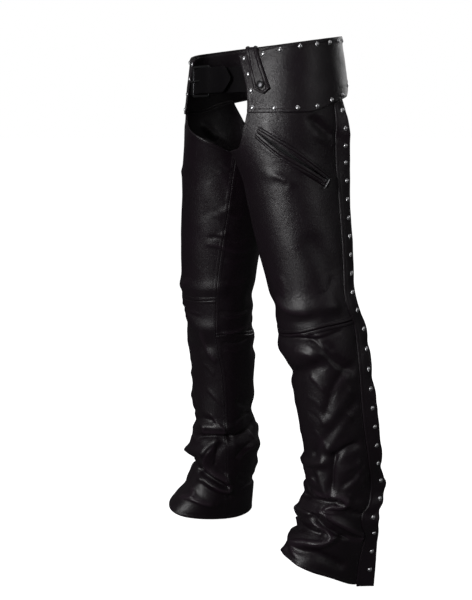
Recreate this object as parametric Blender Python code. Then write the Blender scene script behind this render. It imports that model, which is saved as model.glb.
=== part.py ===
"""Studded leather chaps in their hanging form, with belt, loop tab and zipped slant pocket.

Axes: +X the garment's left, -Y the front, +Z up. The origin is the middle of the waist,
level with the belt's centre line. Lengths are metres; a turn is degrees round from the
front toward the outside of the leg (or round the hips toward the garment's left side).
"""

import math
from collections import namedtuple

import bmesh
import bpy
import numpy as np
from mathutils import Vector, geometry

for item in list(bpy.data.objects):
    bpy.data.objects.remove(item, do_unlink=True)

FLOOR = -1.0            # z of height 0, the level the heels of the hems hang to
WALL = 0.0022           # garment leather
GAP = 0.0003            # left between neighbouring pieces
ROUNDNESS = 2.15        # exponent of every oval section

# The hips: half the width of an oval and how far it reaches forward and back.
Hip = namedtuple("Hip", "height half_width front back")
HIPS = [
    Hip(0.800, 0.194, 0.127, 0.152),
    Hip(0.935, 0.194, 0.1262, 0.154),
    Hip(0.970, 0.1903, 0.1217, 0.1508),
    Hip(1.030, 0.1842, 0.1139, 0.1415),
    Hip(1.060, 0.1812, 0.1100, 0.1348),
    Hip(1.100, 0.179, 0.1080, 0.127),
]

# The legs: where each leg's middle stands and the size of its section.
Leg = namedtuple("Leg", "height left_x left_y right_x right_y half_width left_front right_front back")
LEGS = [
    Leg(-0.03, 0.173, 0.073, 0.210, 0.027, 0.071, 0.158, 0.154, 0.086),
    Leg(0.03, 0.179, 0.071, 0.199, 0.027, 0.070, 0.145, 0.140, 0.085),
    Leg(0.08, 0.186, 0.069, 0.190, 0.027, 0.069, 0.118, 0.094, 0.083),
    Leg(0.12, 0.191, 0.069, 0.185, 0.027, 0.0685, 0.095, 0.073, 0.083),
    Leg(0.16, 0.196, 0.069, 0.181, 0.027, 0.068, 0.083, 0.081, 0.083),
    Leg(0.26, 0.197, 0.063, 0.177, 0.023, 0.069, 0.071, 0.071, 0.080),
    Leg(0.36, 0.188, 0.051, 0.173, 0.017, 0.072, 0.074, 0.068, 0.080),
    Leg(0.44, 0.177, 0.042, 0.168, 0.009, 0.076, 0.074, 0.073, 0.081),
    Leg(0.52, 0.162, 0.032, 0.161, 0.001, 0.080, 0.079, 0.078, 0.080),
    Leg(0.62, 0.141, 0.021, 0.148, -0.003, 0.083, 0.085, 0.085, 0.085),
    Leg(0.72, 0.122, 0.012, 0.131, -0.002, 0.088, 0.093, 0.093, 0.097),
    Leg(0.82, 0.104, 0.006, 0.114, -0.001, 0.091, 0.101, 0.101, 0.110),
    Leg(0.93, 0.089, 0.001, 0.097, 0.001, 0.094, 0.111, 0.111, 0.125),
]

# Where the seams run up each leg, as turns.
Seam = namedtuple("Seam", "height inseam left_outseam right_outseam")
SEAMS = [
    Seam(-0.03, -68, 92, 96),
    Seam(0.05, -68, 94, 96),
    Seam(0.10, -67, 99, 97),
    Seam(0.145, -64, 88, 98),
    Seam(0.19, -62, 104, 102),
    Seam(0.22, -62, 107, 103),
    Seam(0.26, -62, 103, 102),
    Seam(0.35, -60, 101, 101),
    Seam(0.45, -53, 104, 104),
    Seam(0.54, -54, 108, 106),
    Seam(0.58, -55, 101, 102),
    Seam(0.66, -58, 106, 106),
    Seam(0.80, -62, 113, 112),
    Seam(0.96, -66, 107, 107),
]

# The hems, lifted by the instep, and the two seams at the knee.
Edge = namedtuple("Edge", "turn left right")
HEMS = [
    Edge(-180, -0.024, -0.011), Edge(-140, -0.016, -0.008), Edge(-104, -0.003, -0.005),
    Edge(-51, 0.034, 0.006), Edge(-20, 0.059, 0.020), Edge(0, 0.063, 0.031),
    Edge(15, 0.055, 0.037), Edge(31, 0.040, 0.033), Edge(74, 0.000, 0.010),
    Edge(105, -0.014, -0.006), Edge(135, -0.023, -0.012), Edge(180, -0.024, -0.011),
]
FRONT_KNEE = [
    Edge(-70, 0.532, 0.545), Edge(-50, 0.524, 0.544), Edge(-28, 0.517, 0.541), Edge(0, 0.522, 0.537),
    Edge(25, 0.530, 0.538), Edge(61, 0.544, 0.545), Edge(110, 0.551, 0.550),
]
BACK_KNEE = [
    Edge(90, 0.478, 0.478), Edge(150, 0.456, 0.456), Edge(200, 0.448, 0.450),
    Edge(235, 0.452, 0.453), Edge(285, 0.464, 0.464), Edge(312, 0.462, 0.462),
]

# The open edges at the top of each leg: the long curve in front and the one behind.
OPENING = [
    Edge(-70, 0.860, 0.858), Edge(-52, 0.862, 0.866), Edge(-40, 0.865, 0.878), Edge(-22, 0.868, 0.895),
    Edge(-8, 0.872, 0.908), Edge(-4, 0.876, 0.912), Edge(1, 0.889, 0.918), Edge(7, 0.915, 0.925),
    Edge(11, 0.941, 0.941),
]
SEAT = [
    Edge(98, 0.985, 0.985), Edge(118, 0.985, 0.985), Edge(122, 0.974, 0.974), Edge(127, 0.955, 0.955),
    Edge(136, 0.925, 0.925), Edge(150, 0.900, 0.900), Edge(180, 0.877, 0.877), Edge(220, 0.863, 0.863),
    Edge(298, 0.860, 0.858),
]

# The yoke: its height above and below, round from the belt to the middle of the back.
Band = namedtuple("Band", "turn bottom top")
YOKE = [
    Band(36, 0.9385, 1.0425), Band(48, 0.9385, 1.0465), Band(57, 0.9382, 1.0490), Band(67, 0.9385, 1.0552),
    Band(78, 0.9390, 1.0620), Band(83, 0.9395, 1.0645), Band(88, 0.9435, 1.0670), Band(98, 0.9550, 1.0720),
    Band(108, 0.9635, 1.0765), Band(116, 0.9690, 1.0795), Band(120, 0.9765, 1.0805), Band(124, 0.9845, 1.0820),
    Band(130, 0.9915, 1.0835), Band(145, 0.9960, 1.0860), Band(160, 0.9985, 1.0875), Band(180, 1.0000, 1.0880),
]
Point = namedtuple("Point", "turn height")
YOKE_FRONT = [
    Point(45.9, 0.9385), Point(45.8, 0.954), Point(44.8, 0.985), Point(42.2, 1.006),
    Point(38.9, 1.030), Point(36.7, 1.0420),
]
YOKE_STUDS = [
    Point(42.2, 1.0350), Point(56.6, 1.0420), Point(66.8, 1.0485), Point(78.0, 1.0545), Point(88.3, 1.0595),
    Point(98.2, 1.0640), Point(107.5, 1.0685), Point(117.5, 1.0720), Point(127.5, 1.0750),
    Point(137.5, 1.0770), Point(147.5, 1.0780), Point(157, 1.0790), Point(166.5, 1.0795), Point(175.5, 1.0795),
    Point(46.0, 1.0069), Point(48.4, 0.9777), Point(49.4, 0.9470),
    Point(63.1, 0.9460), Point(75.7, 0.9465), Point(86.9, 0.9500), Point(97.4, 0.9615), Point(108.6, 0.9715),
    Point(119.6, 0.9905), Point(131.0, 0.9995), Point(143.5, 1.0035), Point(156.0, 1.0060),
    Point(169.5, 1.0075),
]

# The flap over each outseam: its size, its studs, and how far its free edge stands off.
FLAP_WIDTH = 0.029
FLAP_STUDS = 26
FLAP_BOTTOM = -0.013
STUD_RADIUS, STUD_RISE = 0.0043, 0.0024
Stand = namedtuple("Stand", "height off")
STANDS = [
    Stand(-0.03, 0.0190), Stand(0.05, 0.0170), Stand(0.085, 0.0115), Stand(0.116, 0.0115), Stand(0.145, 0.0180),
    Stand(0.168, 0.0130), Stand(0.20, 0.0065), Stand(0.24, 0.0125), Stand(0.28, 0.0085), Stand(0.34, 0.0135),
    Stand(0.41, 0.0105), Stand(0.51, 0.0100), Stand(0.555, 0.0055), Stand(0.62, 0.0030), Stand(0.70, 0.0058),
    Stand(0.76, 0.0040), Stand(0.80, 0.0070), Stand(0.85, 0.0125), Stand(0.90, 0.0150), Stand(0.93, 0.0095),
    Stand(0.955, 0.0015), Stand(0.98, 0.0004),
]
StudRow = namedtuple("StudRow", "number height")
STUD_ROWS = [
    StudRow(0, 0.9430), StudRow(3, 0.8460), StudRow(8, 0.6730), StudRow(11, 0.5670), StudRow(20, 0.2200),
    StudRow(22, 0.1500), StudRow(25, 0.0260),
]

# Folds of the leather. A fold runs through three points of a leg, (turn, height) each;
# rise is how far it stands out (or in, when negative), width is half its breadth, and
# legs says which legs carry it. The second leg carries a shared fold a little lower.
Fold = namedtuple("Fold", "legs a_turn a_height b_turn b_height c_turn c_height rise width")
FOLDS = [
    # over and under the knee
    Fold("L", -2, 0.575, 35, 0.578, 80, 0.583, 0.0050, 0.015),
    Fold("L", -60, 0.568, -38, 0.567, -18, 0.571, -0.0055, 0.017),
    Fold("L", -50, 0.490, 0, 0.485, 45, 0.497, 0.0105, 0.021),
    Fold("L", -50, 0.434, 5, 0.446, 45, 0.474, -0.0060, 0.012),
    Fold("L", -30, 0.512, 35, 0.520, 62, 0.503, -0.0030, 0.008),
    Fold("R", -60, 0.572, 0, 0.566, 24, 0.570, 0.0040, 0.016),
    Fold("R", -45, 0.478, -15, 0.481, 8, 0.488, 0.0055, 0.018),
    Fold("R", 20, 0.480, 36, 0.478, 62, 0.482, -0.0060, 0.024),
    Fold("R", -40, 0.436, -10, 0.430, 20, 0.434, -0.0035, 0.014),
    # down the calf
    Fold("LR", 40, 0.521, 60, 0.488, 90, 0.456, -0.0040, 0.009),
    Fold("LR", 92, 0.464, 62, 0.436, 41, 0.376, -0.0045, 0.010),
    Fold("LR", 78, 0.412, 59, 0.387, 37, 0.357, 0.0038, 0.010),
    Fold("LR", 90, 0.391, 56, 0.352, 8, 0.284, -0.0040, 0.010),
    Fold("LR", 72, 0.366, 55, 0.340, 34, 0.302, 0.0045, 0.010),
    Fold("LR", 84, 0.309, 60, 0.300, 42, 0.284, -0.0040, 0.008),
    Fold("LR", 42, 0.285, 39, 0.247, 32, 0.203, -0.0050, 0.008),
    Fold("LR", 82, 0.266, 94, 0.247, 86, 0.228, 0.0035, 0.010),
    Fold("LR", 60, 0.255, 70, 0.235, 62, 0.212, 0.0040, 0.014),
    Fold("L", 14, 0.240, 20, 0.222, 27, 0.206, 0.0050, 0.011),
    # stacked at the ankle, in front
    Fold("L", -75, 0.252, -25, 0.252, 22, 0.270, 0.0085, 0.011),
    Fold("L", -70, 0.222, -30, 0.222, 5, 0.232, -0.0040, 0.009),
    Fold("L", -75, 0.186, -40, 0.183, -12, 0.186, -0.0060, 0.011),
    Fold("L", -24, 0.180, 8, 0.186, 42, 0.189, -0.0055, 0.006),
    Fold("L", -85, 0.134, -24, 0.148, 20, 0.166, 0.0070, 0.0090),
    Fold("L", -75, 0.119, -20, 0.124, 24, 0.121, -0.0105, 0.0080),
    Fold("L", -8, 0.092, 20, 0.098, 46, 0.119, 0.0065, 0.009),
    Fold("L", 2, 0.086, 30, 0.081, 60, 0.047, -0.0040, 0.009),
    Fold("LR", 30, 0.161, 56, 0.141, 92, 0.113, 0.0060, 0.010),
    Fold("LR", 10, 0.154, 46, 0.124, 89, 0.098, -0.0055, 0.007),
    Fold("LR", 60, 0.190, 88, 0.176, 118, 0.180, 0.0050, 0.012),
    Fold("LR", 62, 0.172, 90, 0.155, 120, 0.160, -0.0040, 0.009),
    Fold("L", -4, 0.086, -6, 0.074, 6, 0.062, -0.0030, 0.006),
    Fold("LR", 8, 0.090, 32, 0.075, 62, 0.050, -0.0035, 0.012),
    # stacked at the ankle, on the inner side
    Fold("R", 60, 0.262, 0, 0.256, -35, 0.253, -0.0050, 0.009),
    Fold("R", 62, 0.236, 28, 0.236, 2, 0.240, -0.0085, 0.014),
    Fold("LR", -5, 0.238, -42, 0.237, -68, 0.236, 0.0050, 0.010),
    Fold("LR", 22, 0.206, -32, 0.213, -70, 0.211, -0.0060, 0.008),
    Fold("LR", -70, 0.211, -96, 0.215, -130, 0.228, -0.0050, 0.009),
    Fold("R", 70, 0.163, 28, 0.160, -20, 0.176, 0.0090, 0.0135),
    Fold("LR", -80, 0.190, -108, 0.184, -136, 0.176, 0.0080, 0.019),
    Fold("R", -168, 0.168, -150, 0.166, -125, 0.164, 0.0050, 0.028),
    Fold("LR", -42, 0.206, -22, 0.150, -66, 0.101, 0.0050, 0.009),
    Fold("LR", -54, 0.196, -42, 0.158, -60, 0.122, -0.0040, 0.010),
    Fold("R", 70, 0.138, 20, 0.133, -10, 0.124, -0.0045, 0.009),
    Fold("LR", -10, 0.121, -34, 0.112, -70, 0.087, -0.0050, 0.007),
    Fold("LR", -17, 0.103, -45, 0.090, -70, 0.075, 0.0055, 0.008),
    Fold("LR", -24, 0.096, -46, 0.076, -73, 0.059, -0.0040, 0.007),
    Fold("R", -14, 0.063, -30, 0.053, -52, 0.044, 0.0030, 0.009),
    Fold("LR", -94, 0.103, -114, 0.088, -150, 0.078, -0.0055, 0.010),
    Fold("LR", -92, 0.296, -107, 0.287, -132, 0.278, -0.0050, 0.010),
    # behind, out of the light
    Fold("LR", 130, 0.282, 165, 0.268, 188, 0.276, 0.0060, 0.015),
    Fold("LR", 125, 0.246, 160, 0.236, 186, 0.244, -0.0060, 0.012),
    Fold("R", 188, 0.260, 208, 0.258, 240, 0.256, -0.0105, 0.026),
    Fold("R", 185, 0.330, 208, 0.330, 240, 0.326, -0.0050, 0.036),
    Fold("LR", 128, 0.206, 165, 0.196, 196, 0.208, 0.0080, 0.015),
    Fold("LR", 132, 0.163, 165, 0.156, 192, 0.162, -0.0065, 0.011),
    Fold("LR", 126, 0.124, 170, 0.118, 208, 0.126, 0.0060, 0.013),
    Fold("LR", 136, 0.084, 184, 0.076, 214, 0.080, -0.0040, 0.012),
    Fold("LR", 130, 0.432, 180, 0.420, 226, 0.424, -0.0050, 0.014),
    Fold("LR", 135, 0.400, 165, 0.388, 194, 0.394, 0.0050, 0.015),
    Fold("R", 192, 0.466, 212, 0.468, 240, 0.468, -0.0055, 0.016),
    Fold("LR", 132, 0.500, 184, 0.508, 228, 0.500, -0.0050, 0.014),
    Fold("LR", 140, 0.536, 165, 0.546, 190, 0.540, 0.0040, 0.016),
    Fold("R", 192, 0.542, 214, 0.540, 240, 0.540, -0.0055, 0.022),
    # on the thigh
    Fold("LR", 80, 0.924, 94, 0.908, 108, 0.893, -0.0040, 0.009),
    Fold("LR", 86, 0.897, 97, 0.891, 107, 0.887, 0.0025, 0.007),
    Fold("LR", 27, 0.827, 38, 0.821, 48, 0.815, 0.0025, 0.010),
    Fold("L", 66, 0.700, 84, 0.650, 96, 0.610, -0.0035, 0.020),
    Fold("R", -30, 0.790, -44, 0.760, -57, 0.742, 0.0035, 0.013),
    Fold("R", -38, 0.728, -48, 0.708, -57, 0.690, 0.0025, 0.010),
]


def read(table, at):
    """Reads every column after the first, along a smooth curve through the rows."""
    rows = np.array(table, float)
    keys, values = rows[:, 0], rows[:, 1:]
    at = np.clip(np.asarray(at, float), keys[0], keys[-1])
    steps = np.diff(keys)
    rates = np.diff(values, axis=0) / steps[:, None]
    slopes = np.vstack([rates[:1], 0.5 * (rates[1:] + rates[:-1]), rates[-1:]])
    i = np.clip(np.searchsorted(keys, at, side="right") - 1, 0, len(steps) - 1)
    s = ((at - keys[i]) / steps[i])[..., None]
    step = steps[i][..., None]
    return ((2 * s**3 - 3 * s**2 + 1) * values[i] + (s**3 - 2 * s**2 + s) * step * slopes[i]
            + (3 * s**2 - 2 * s**3) * values[i + 1] + (s**3 - s**2) * step * slopes[i + 1])


def straight(table, at, column):
    """Reads one column along straight lines, for edges with corners."""
    rows = np.array(table, float)
    return np.interp(at, rows[:, 0], rows[:, column])


def ease(x):
    x = np.clip(x, 0.0, 1.0)
    return x * x * (3 - 2 * x)


def oval(turn, half_width, front, back):
    """How far an oval reaches at a turn."""
    across, along = np.sin(turn), np.cos(turn)
    depth = np.where(along > 0, front, back)
    return (np.abs(across / half_width) ** ROUNDNESS + np.abs(along / depth) ** ROUNDNESS) ** (-1 / ROUNDNESS)


def hip_reach(x, y, turn, height):
    """How far the hips' oval lies from a point inside it, looking along a turn."""
    section = read(HIPS, height)
    near, far = np.zeros_like(x), np.full_like(x, 0.6)
    for _ in range(26):
        middle = 0.5 * (near + far)
        px, py = x + middle * np.sin(turn), y - middle * np.cos(turn)
        inside = np.hypot(px, py) < oval(np.arctan2(px, -py), *np.moveaxis(section, -1, 0))
        near, far = np.where(inside, middle, near), np.where(inside, far, middle)
    return 0.5 * (near + far)


def hip_skin(side, turn, height):
    """A point of the hips' smooth form."""
    turn, height = np.broadcast_arrays(np.radians(turn), np.asarray(height, float))
    reach = oval(turn, *np.moveaxis(read(HIPS, height), -1, 0))
    return np.stack([side * reach * np.sin(turn), -reach * np.cos(turn), FLOOR + height], -1)


def leg_skin(side, turn, height):
    """A point of a leg's smooth form, running into the hips' form at the yoke."""
    turn, height = np.broadcast_arrays(np.asarray(turn, float), np.asarray(height, float))
    row = read(LEGS, height)
    x, y, front = (row[..., k] for k in ((0, 1, 5) if side > 0 else (2, 3, 6)))
    angle = np.radians(turn)
    reach = oval(angle, row[..., 4], front, row[..., 7])
    round_from_inside = (turn + 90) % 360 - 90
    outer = ease((round_from_inside + 60) / 55) * (1 - ease((round_from_inside - 190) / 50))
    share = ease((height - 0.80) / 0.135) * outer
    reach = reach + (hip_reach(x, y, angle, height) - reach) * share
    return np.stack([side * (x + reach * np.sin(angle)), y - reach * np.cos(angle), FLOOR + height], -1)


def outward(skin, side, turn, height):
    """The direction straight out of a smooth form."""
    turn, height = np.broadcast_arrays(np.asarray(turn, float), np.asarray(height, float))
    round_step = skin(side, turn + 0.2, height) - skin(side, turn - 0.2, height)
    up_step = skin(side, turn, height + 0.002) - skin(side, turn, height - 0.002)
    normal = side * np.cross(round_step, up_step)
    return normal / np.linalg.norm(normal, axis=-1, keepdims=True)


def fold_depth(side, turn, height):
    """How far all the folds together move the leather out at each point of a leg."""
    turn, height = np.broadcast_arrays(np.asarray(turn, float), np.asarray(height, float))
    total = np.zeros(turn.shape)
    for fold in FOLDS:
        own = "L" if side > 0 else "R"
        if own not in fold.legs:
            continue
        guest = len(fold.legs) == 2 and (fold.b_turn > 0) != (side > 0)
        drop, share = (0.007, 0.85) if guest else (0.0, 1.0)
        t = np.linspace(0, 1, 7)[:, None]
        a, b, c = (np.array(p) for p in (fold[1:3], fold[3:5], fold[5:7]))
        path = (1 - t) * (1 - 2 * t) * a + 4 * t * (1 - t) * b + t * (2 * t - 1) * c
        path[:, 1] -= drop
        nearest = np.full(turn.shape, 9.0)
        for start, end in zip(path[:-1], path[1:]):
            dx = np.radians((turn - start[0] + 180) % 360 - 180) * 0.080
            dy = height - start[1]
            ex, ey = math.radians(end[0] - start[0]) * 0.080, end[1] - start[1]
            along = np.clip((dx * ex + dy * ey) / (ex * ex + ey * ey), 0, 1)
            nearest = np.minimum(nearest, np.hypot(dx - along * ex, dy - along * ey))
        total += share * fold.rise * np.exp(-((nearest / fold.width) ** 2))
    seam = read(SEAMS, height)[..., 1 if side > 0 else 2]
    from_seam = np.abs((turn - seam + 180) % 360 - 180)
    stiff = 1 - 0.6 * np.exp(-((from_seam / 16) ** 2))
    return total * stiff


def leg(side, turn, height, out=0.0):
    """A point of a leg's outer leather, folds included, moved out by a distance."""
    depth = fold_depth(side, turn, height) + out
    return leg_skin(side, turn, height) + depth[..., None] * outward(leg_skin, side, turn, height)


def hip(side, turn, height, out=0.0):
    """A point over the hips' form, moved out by a distance."""
    base = hip_skin(side, turn, height)
    depth = np.broadcast_to(np.asarray(out, float), base.shape[:-1])
    return base + depth[..., None] * outward(hip_skin, side, turn, height)


def material(name, colour, metallic, roughness):
    made = bpy.data.materials.new(name)
    made.use_nodes = True
    shader = made.node_tree.nodes["Principled BSDF"]
    shader.inputs["Base Color"].default_value = (*colour, 1)
    shader.inputs["Metallic"].default_value = metallic
    shader.inputs["Roughness"].default_value = roughness
    return made


LEATHER = material("black_leather", (0.012, 0.011, 0.012), 0.0, 0.45)
STRAP = material("belt_leather", (0.010, 0.010, 0.010), 0.0, 0.60)
TAPE = material("zip_tape", (0.014, 0.014, 0.015), 0.0, 0.90)
CHROME = material("polished_steel", (0.70, 0.70, 0.72), 1.0, 0.18)
GUNMETAL = material("dark_steel", (0.10, 0.10, 0.11), 1.0, 0.30)


def add(name, body, look):
    """Makes a named object of a closed body, its faces turned outward."""
    bmesh.ops.recalc_face_normals(body, faces=body.faces)
    if body.calc_volume(signed=True) < 0:
        bmesh.ops.reverse_faces(body, faces=body.faces)
    mesh = bpy.data.meshes.new(name)
    body.to_mesh(mesh)
    body.free()
    made = bpy.data.objects.new(name, mesh)
    mesh.materials.append(look)
    bpy.context.scene.collection.objects.link(made)
    return made


def slab(name, outer, inner, look, rounded=False):
    """Closes two grids of points, an outer and an inner one, into a thin solid."""
    body = bmesh.new()
    rows, columns = outer.shape[:2]
    skins = [[[body.verts.new(p) for p in row] for row in grid] for grid in (outer, inner)]
    across = columns if rounded else columns - 1
    for skin in skins:
        for i in range(rows - 1):
            for j in range(across):
                k = (j + 1) % columns
                body.faces.new((skin[i][j], skin[i][k], skin[i + 1][k], skin[i + 1][j]))
    top, bottom = skins
    for i in (0, rows - 1):
        for j in range(across):
            k = (j + 1) % columns
            body.faces.new((top[i][j], top[i][k], bottom[i][k], bottom[i][j]))
    if not rounded:
        for j in (0, columns - 1):
            for i in range(rows - 1):
                body.faces.new((top[i][j], top[i + 1][j], bottom[i + 1][j], bottom[i][j]))
    return add(name, body, look)


def seam_turns(side, height):
    """The turns of the inseam and the outseam at a height."""
    row = read(SEAMS, height)
    return row[..., 0], row[..., 1 if side > 0 else 2]


def yoke_turn(side, turn, height):
    """The turn round the hips of a point of a leg."""
    point = leg_skin(side, turn, height)
    return np.degrees(np.arctan2(side * point[..., 0], -point[..., 1]))


def top_edge(side, turn):
    """Height of a leg's top edge: open in front, tucked under the yoke, open behind."""
    column = 1 if side > 0 else 2
    tucked = straight(YOKE, yoke_turn(side, turn, np.full_like(turn, 0.95)), 1) + 0.009
    front = np.where(turn < 11, straight(OPENING, turn, column), tucked)
    return np.where(turn < 95, front, np.minimum(front, straight(SEAT, turn, column)))


def hem(side, turn):
    round_turn = (turn + 180) % 360 - 180
    return read(HEMS, round_turn)[..., 0 if side > 0 else 1]


def knee(table, side, turn):
    return read(table, turn)[..., 0 if side > 0 else 1]


# Every panel of a leg shares these rows at the seams, with so many steps between them.
HEM, SHIN, CALF, BACK_SEAM, FRONT_SEAM, THIGH, TOP = range(7)
STEPS = [19, 4, 2, 3, 7, 7]


def key_row(key, side, front, turn, across):
    """Height of a shared row at each turn of a front or back panel."""
    if key == HEM:
        return hem(side, turn)
    if key == TOP:
        return top_edge(side, turn)
    if key in (BACK_SEAM, FRONT_SEAM):
        table = FRONT_KNEE if key == FRONT_SEAM else BACK_KNEE
        if front == (key == FRONT_SEAM):
            return knee(table, side, turn)
        inseam, outseam = seam_turns(side, 0.5)
        inner = knee(table, side, inseam if key == FRONT_SEAM else inseam + 360)
        outer = knee(table, side, outseam)
        return inner + (outer - inner) * (across if front else 1 - across)
    return np.full_like(turn, {SHIN: 0.30, CALF: 0.44, THIGH: 0.80}[key])


def leg_panel(name, side, front, first, last, columns):
    """One leather panel of a leg, between its two seams, from one shared row to another."""
    across = np.linspace(0, 1, columns)
    edge = math.degrees(0.5 * GAP / 0.075)
    turns, heights = [], []
    marks = [(key, k / STEPS[key]) for key in range(first, last) for k in range(STEPS[key])]
    for key, part in marks + [(last - 1, 1.0)]:
        height = np.full(columns, 0.5)
        for _ in range(8):
            inseam, outseam = seam_turns(side, height)
            if front:
                turn = inseam + edge + across * (outseam - inseam - 2 * edge)
            else:
                turn = outseam + edge + across * (inseam + 360 - outseam - 2 * edge)
            low, high = (key_row(k, side, front, turn, across) for k in (key, key + 1))
            height = low + part * (high - low)
        turns.append(turn)
        heights.append(height)
    if first != HEM:
        heights[0] = heights[0] + 0.5 * GAP
    if last != TOP:
        heights[-1] = heights[-1] - 0.5 * GAP
    turns, heights = np.array(turns), np.array(heights)
    return slab(name, leg(side, turns, heights), leg(side, turns, heights, -WALL), LEATHER)


def outline_points(loop, step):
    """Walks round a closed outline and drops points no further apart than a step."""
    points = []
    for a, b in zip(loop, loop[1:] + loop[:1]):
        parts = max(1, math.ceil((Vector(b) - Vector(a)).length / step))
        points += [Vector(a).lerp(Vector(b), k / parts) for k in range(parts)]
    return points


def studded(name, loop, studs, place, spacing, thickness, look):
    """A flat-cut piece with domed studs raised in its outer side.

    loop and studs are in metres on the flat cut; place(x, y, out) puts points of the
    cut on the garment.
    """
    outline = outline_points(loop, spacing)
    count = len(outline)
    edges = [(k, (k + 1) % count) for k in range(count)]
    xs, ys = [p.x for p in outline], [p.y for p in outline]
    inside = []
    for x in np.arange(min(xs), max(xs), spacing * 1.7):
        for y in np.arange(min(ys), max(ys), spacing * 1.9):
            p = Vector((x, y))
            clear_of_edge = min((p - q).length for q in outline) > 0.6 * spacing
            clear_of_studs = all((p - Vector(s)).length > 2.1 * STUD_RADIUS for s in studs)
            if clear_of_edge and clear_of_studs:
                inside.append(p)
    rings = []
    for centre in studs:
        for radius, rise in ((STUD_RADIUS, 0.0), (0.66 * STUD_RADIUS, 0.75 * STUD_RISE), (0.0, STUD_RISE)):
            for k in range(6 if radius else 1):
                angle = math.radians(60 * k + 15)
                offset = Vector((math.cos(angle), math.sin(angle))) * radius
                rings.append((Vector(centre) + offset, rise))
    body = bmesh.new()
    rims = []
    for outer in (True, False):
        points = outline + inside + ([p for p, _ in rings] if outer else [])
        rises = [0.0] * (count + len(inside)) + ([r for _, r in rings] if outer else [])
        flat, _, triangles, origins, _, _ = geometry.delaunay_2d_cdt(points, edges, [], 1, 1e-7)
        source = [ids[0] for ids in origins]
        x = np.array([points[k].x for k in source])
        y = np.array([points[k].y for k in source])
        out = np.array([rises[k] for k in source]) + (thickness if outer else 0.0)
        verts = [body.verts.new(p) for p in place(x, y, out)]
        for corners in triangles:
            body.faces.new([verts[k] for k in corners])
        rim = [None] * count
        for k, vert in zip(source, verts):
            if k < count:
                rim[k] = vert
        rims.append(rim)
    for k, m in edges:
        body.faces.new((rims[0][k], rims[0][m], rims[1][m], rims[1][k]))
    return add(name, body, look)


def yoke(name, side):
    """Half of the yoke with its three rows of studs."""
    reach = 0.165

    def flat(point):
        return (math.radians(point[0]) * reach, point[1])

    lower = [(t, float(straight(YOKE, t, 1))) for t in (52, 60, 66, 72, 78, 83, 88, 93, 98, 103, 108,
                                                         116, 124, 132, 140, 150, 160, 170)]
    upper = [(t, float(straight(YOKE, t, 2))) for t in range(170, 44, -6)]
    back = [(179.95, 0.9990), (179.95, 1.0820)]
    loop = [flat(p) for p in list(YOKE_FRONT[:1]) + lower + back + upper + list(YOKE_FRONT[:0:-1])]
    studs = [flat(p) for p in YOKE_STUDS]

    def place(x, y, out):
        return hip(side, np.degrees(x / reach), y, out + 2 * GAP)

    return studded(name, loop, studs, place, 0.0125, 0.0020, LEATHER)


def flap_point(side, across, height, out):
    """A point of the flap: across metres back from the outseam, standing off to its free edge."""
    _, seam = seam_turns(side, height)
    radius = read(LEGS, height)[..., 4] + 0.006 + 0.045 * ease((height - 0.80) / 0.135)
    turn = seam + np.degrees(across / radius)
    stand = straight(STANDS, height, 1) * np.clip(across / FLAP_WIDTH, 0, 1) ** 1.5
    return leg(side, turn, height, out + stand)


def flap_top(side, across):
    """Height of the flap's top end, cut along the yoke's lower edge."""
    height = 0.955
    for _ in range(4):
        point = flap_point(side, np.array(across), np.array(height), 0.0)
        height = float(straight(YOKE, math.degrees(math.atan2(side * point[0], -point[1])), 1)) - 0.0008
    return height


def flap(name, side):
    """The stiff strip over an outseam, studded along its free edge."""
    columns = [0.0, 0.010, 0.020, FLAP_WIDTH]
    loop = [(x, FLAP_BOTTOM) for x in columns] + [(x, flap_top(side, x)) for x in reversed(columns)]
    studs = [(FLAP_WIDTH - 0.0080, float(straight(STUD_ROWS, k, 1))) for k in range(FLAP_STUDS)]

    def place(x, y, out):
        return flap_point(side, x, y, out + 0.0009)

    return studded(name, loop, studs, place, 0.0139, 0.0026, LEATHER)


def strap(name, path, half_width, thickness, place, look):
    """A strip bent along a path of (along, out) points.

    half_width lists half its breadth at each point; place(along, across, out) puts it
    on the garment.
    """
    path = np.array(path, float)
    way = np.gradient(path, axis=0)
    way /= np.linalg.norm(way, axis=1, keepdims=True)
    side = np.stack([-way[:, 1], way[:, 0]], -1)
    across = np.array([-1.0, -0.4, 0.4, 1.0])[None, :] * np.array(half_width, float)[:, None]
    skins = []
    for sign in (0.5, -0.5):
        edge = path + sign * thickness * side
        skins.append(place(edge[:, :1] + 0 * across, across, edge[:, 1:] + 0 * across))
    return slab(name, skins[0], skins[1], look)


def collar(name, outer, inner, low, high, place, look):
    """A solid ring between two closed outlines, from a low to a high face.

    outer and inner list the same number of (a, b) points; place(a, b, c) puts them.
    """
    loops = [np.array(p, float) for p in (outer, inner, inner, outer)]
    levels = [low, low, high, high]
    grid = np.stack([place(p[:, 0], p[:, 1], np.full(len(p), c)) for p, c in zip(loops, levels)])
    body = bmesh.new()
    verts = [[body.verts.new(p) for p in row] for row in grid]
    count = len(outer)
    for i in range(4):
        for k in range(count):
            a, b = verts[i], verts[(i + 1) % 4]
            body.faces.new((a[k], a[(k + 1) % count], b[(k + 1) % count], b[k]))
    return add(name, body, look)


def prism(outline, low, high, place):
    """A closed body with a flat outline of (a, b) points, from a low to a high face."""
    body = bmesh.new()
    flat = np.array(outline, float)
    ends = [[body.verts.new(p) for p in place(flat[:, 0], flat[:, 1], np.full(len(flat), c))]
            for c in (low, high)]
    count = len(outline)
    body.faces.new(ends[0])
    body.faces.new(ends[1])
    for k in range(count):
        body.faces.new((ends[0][k], ends[0][(k + 1) % count], ends[1][(k + 1) % count], ends[1][k]))
    return body


def cut(target, tool):
    """Takes one body out of another and drops the tool."""
    change = target.modifiers.new("cut", "BOOLEAN")
    change.operation = "DIFFERENCE"
    change.solver = "EXACT"
    change.object = tool
    bake(target, tool)


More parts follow.
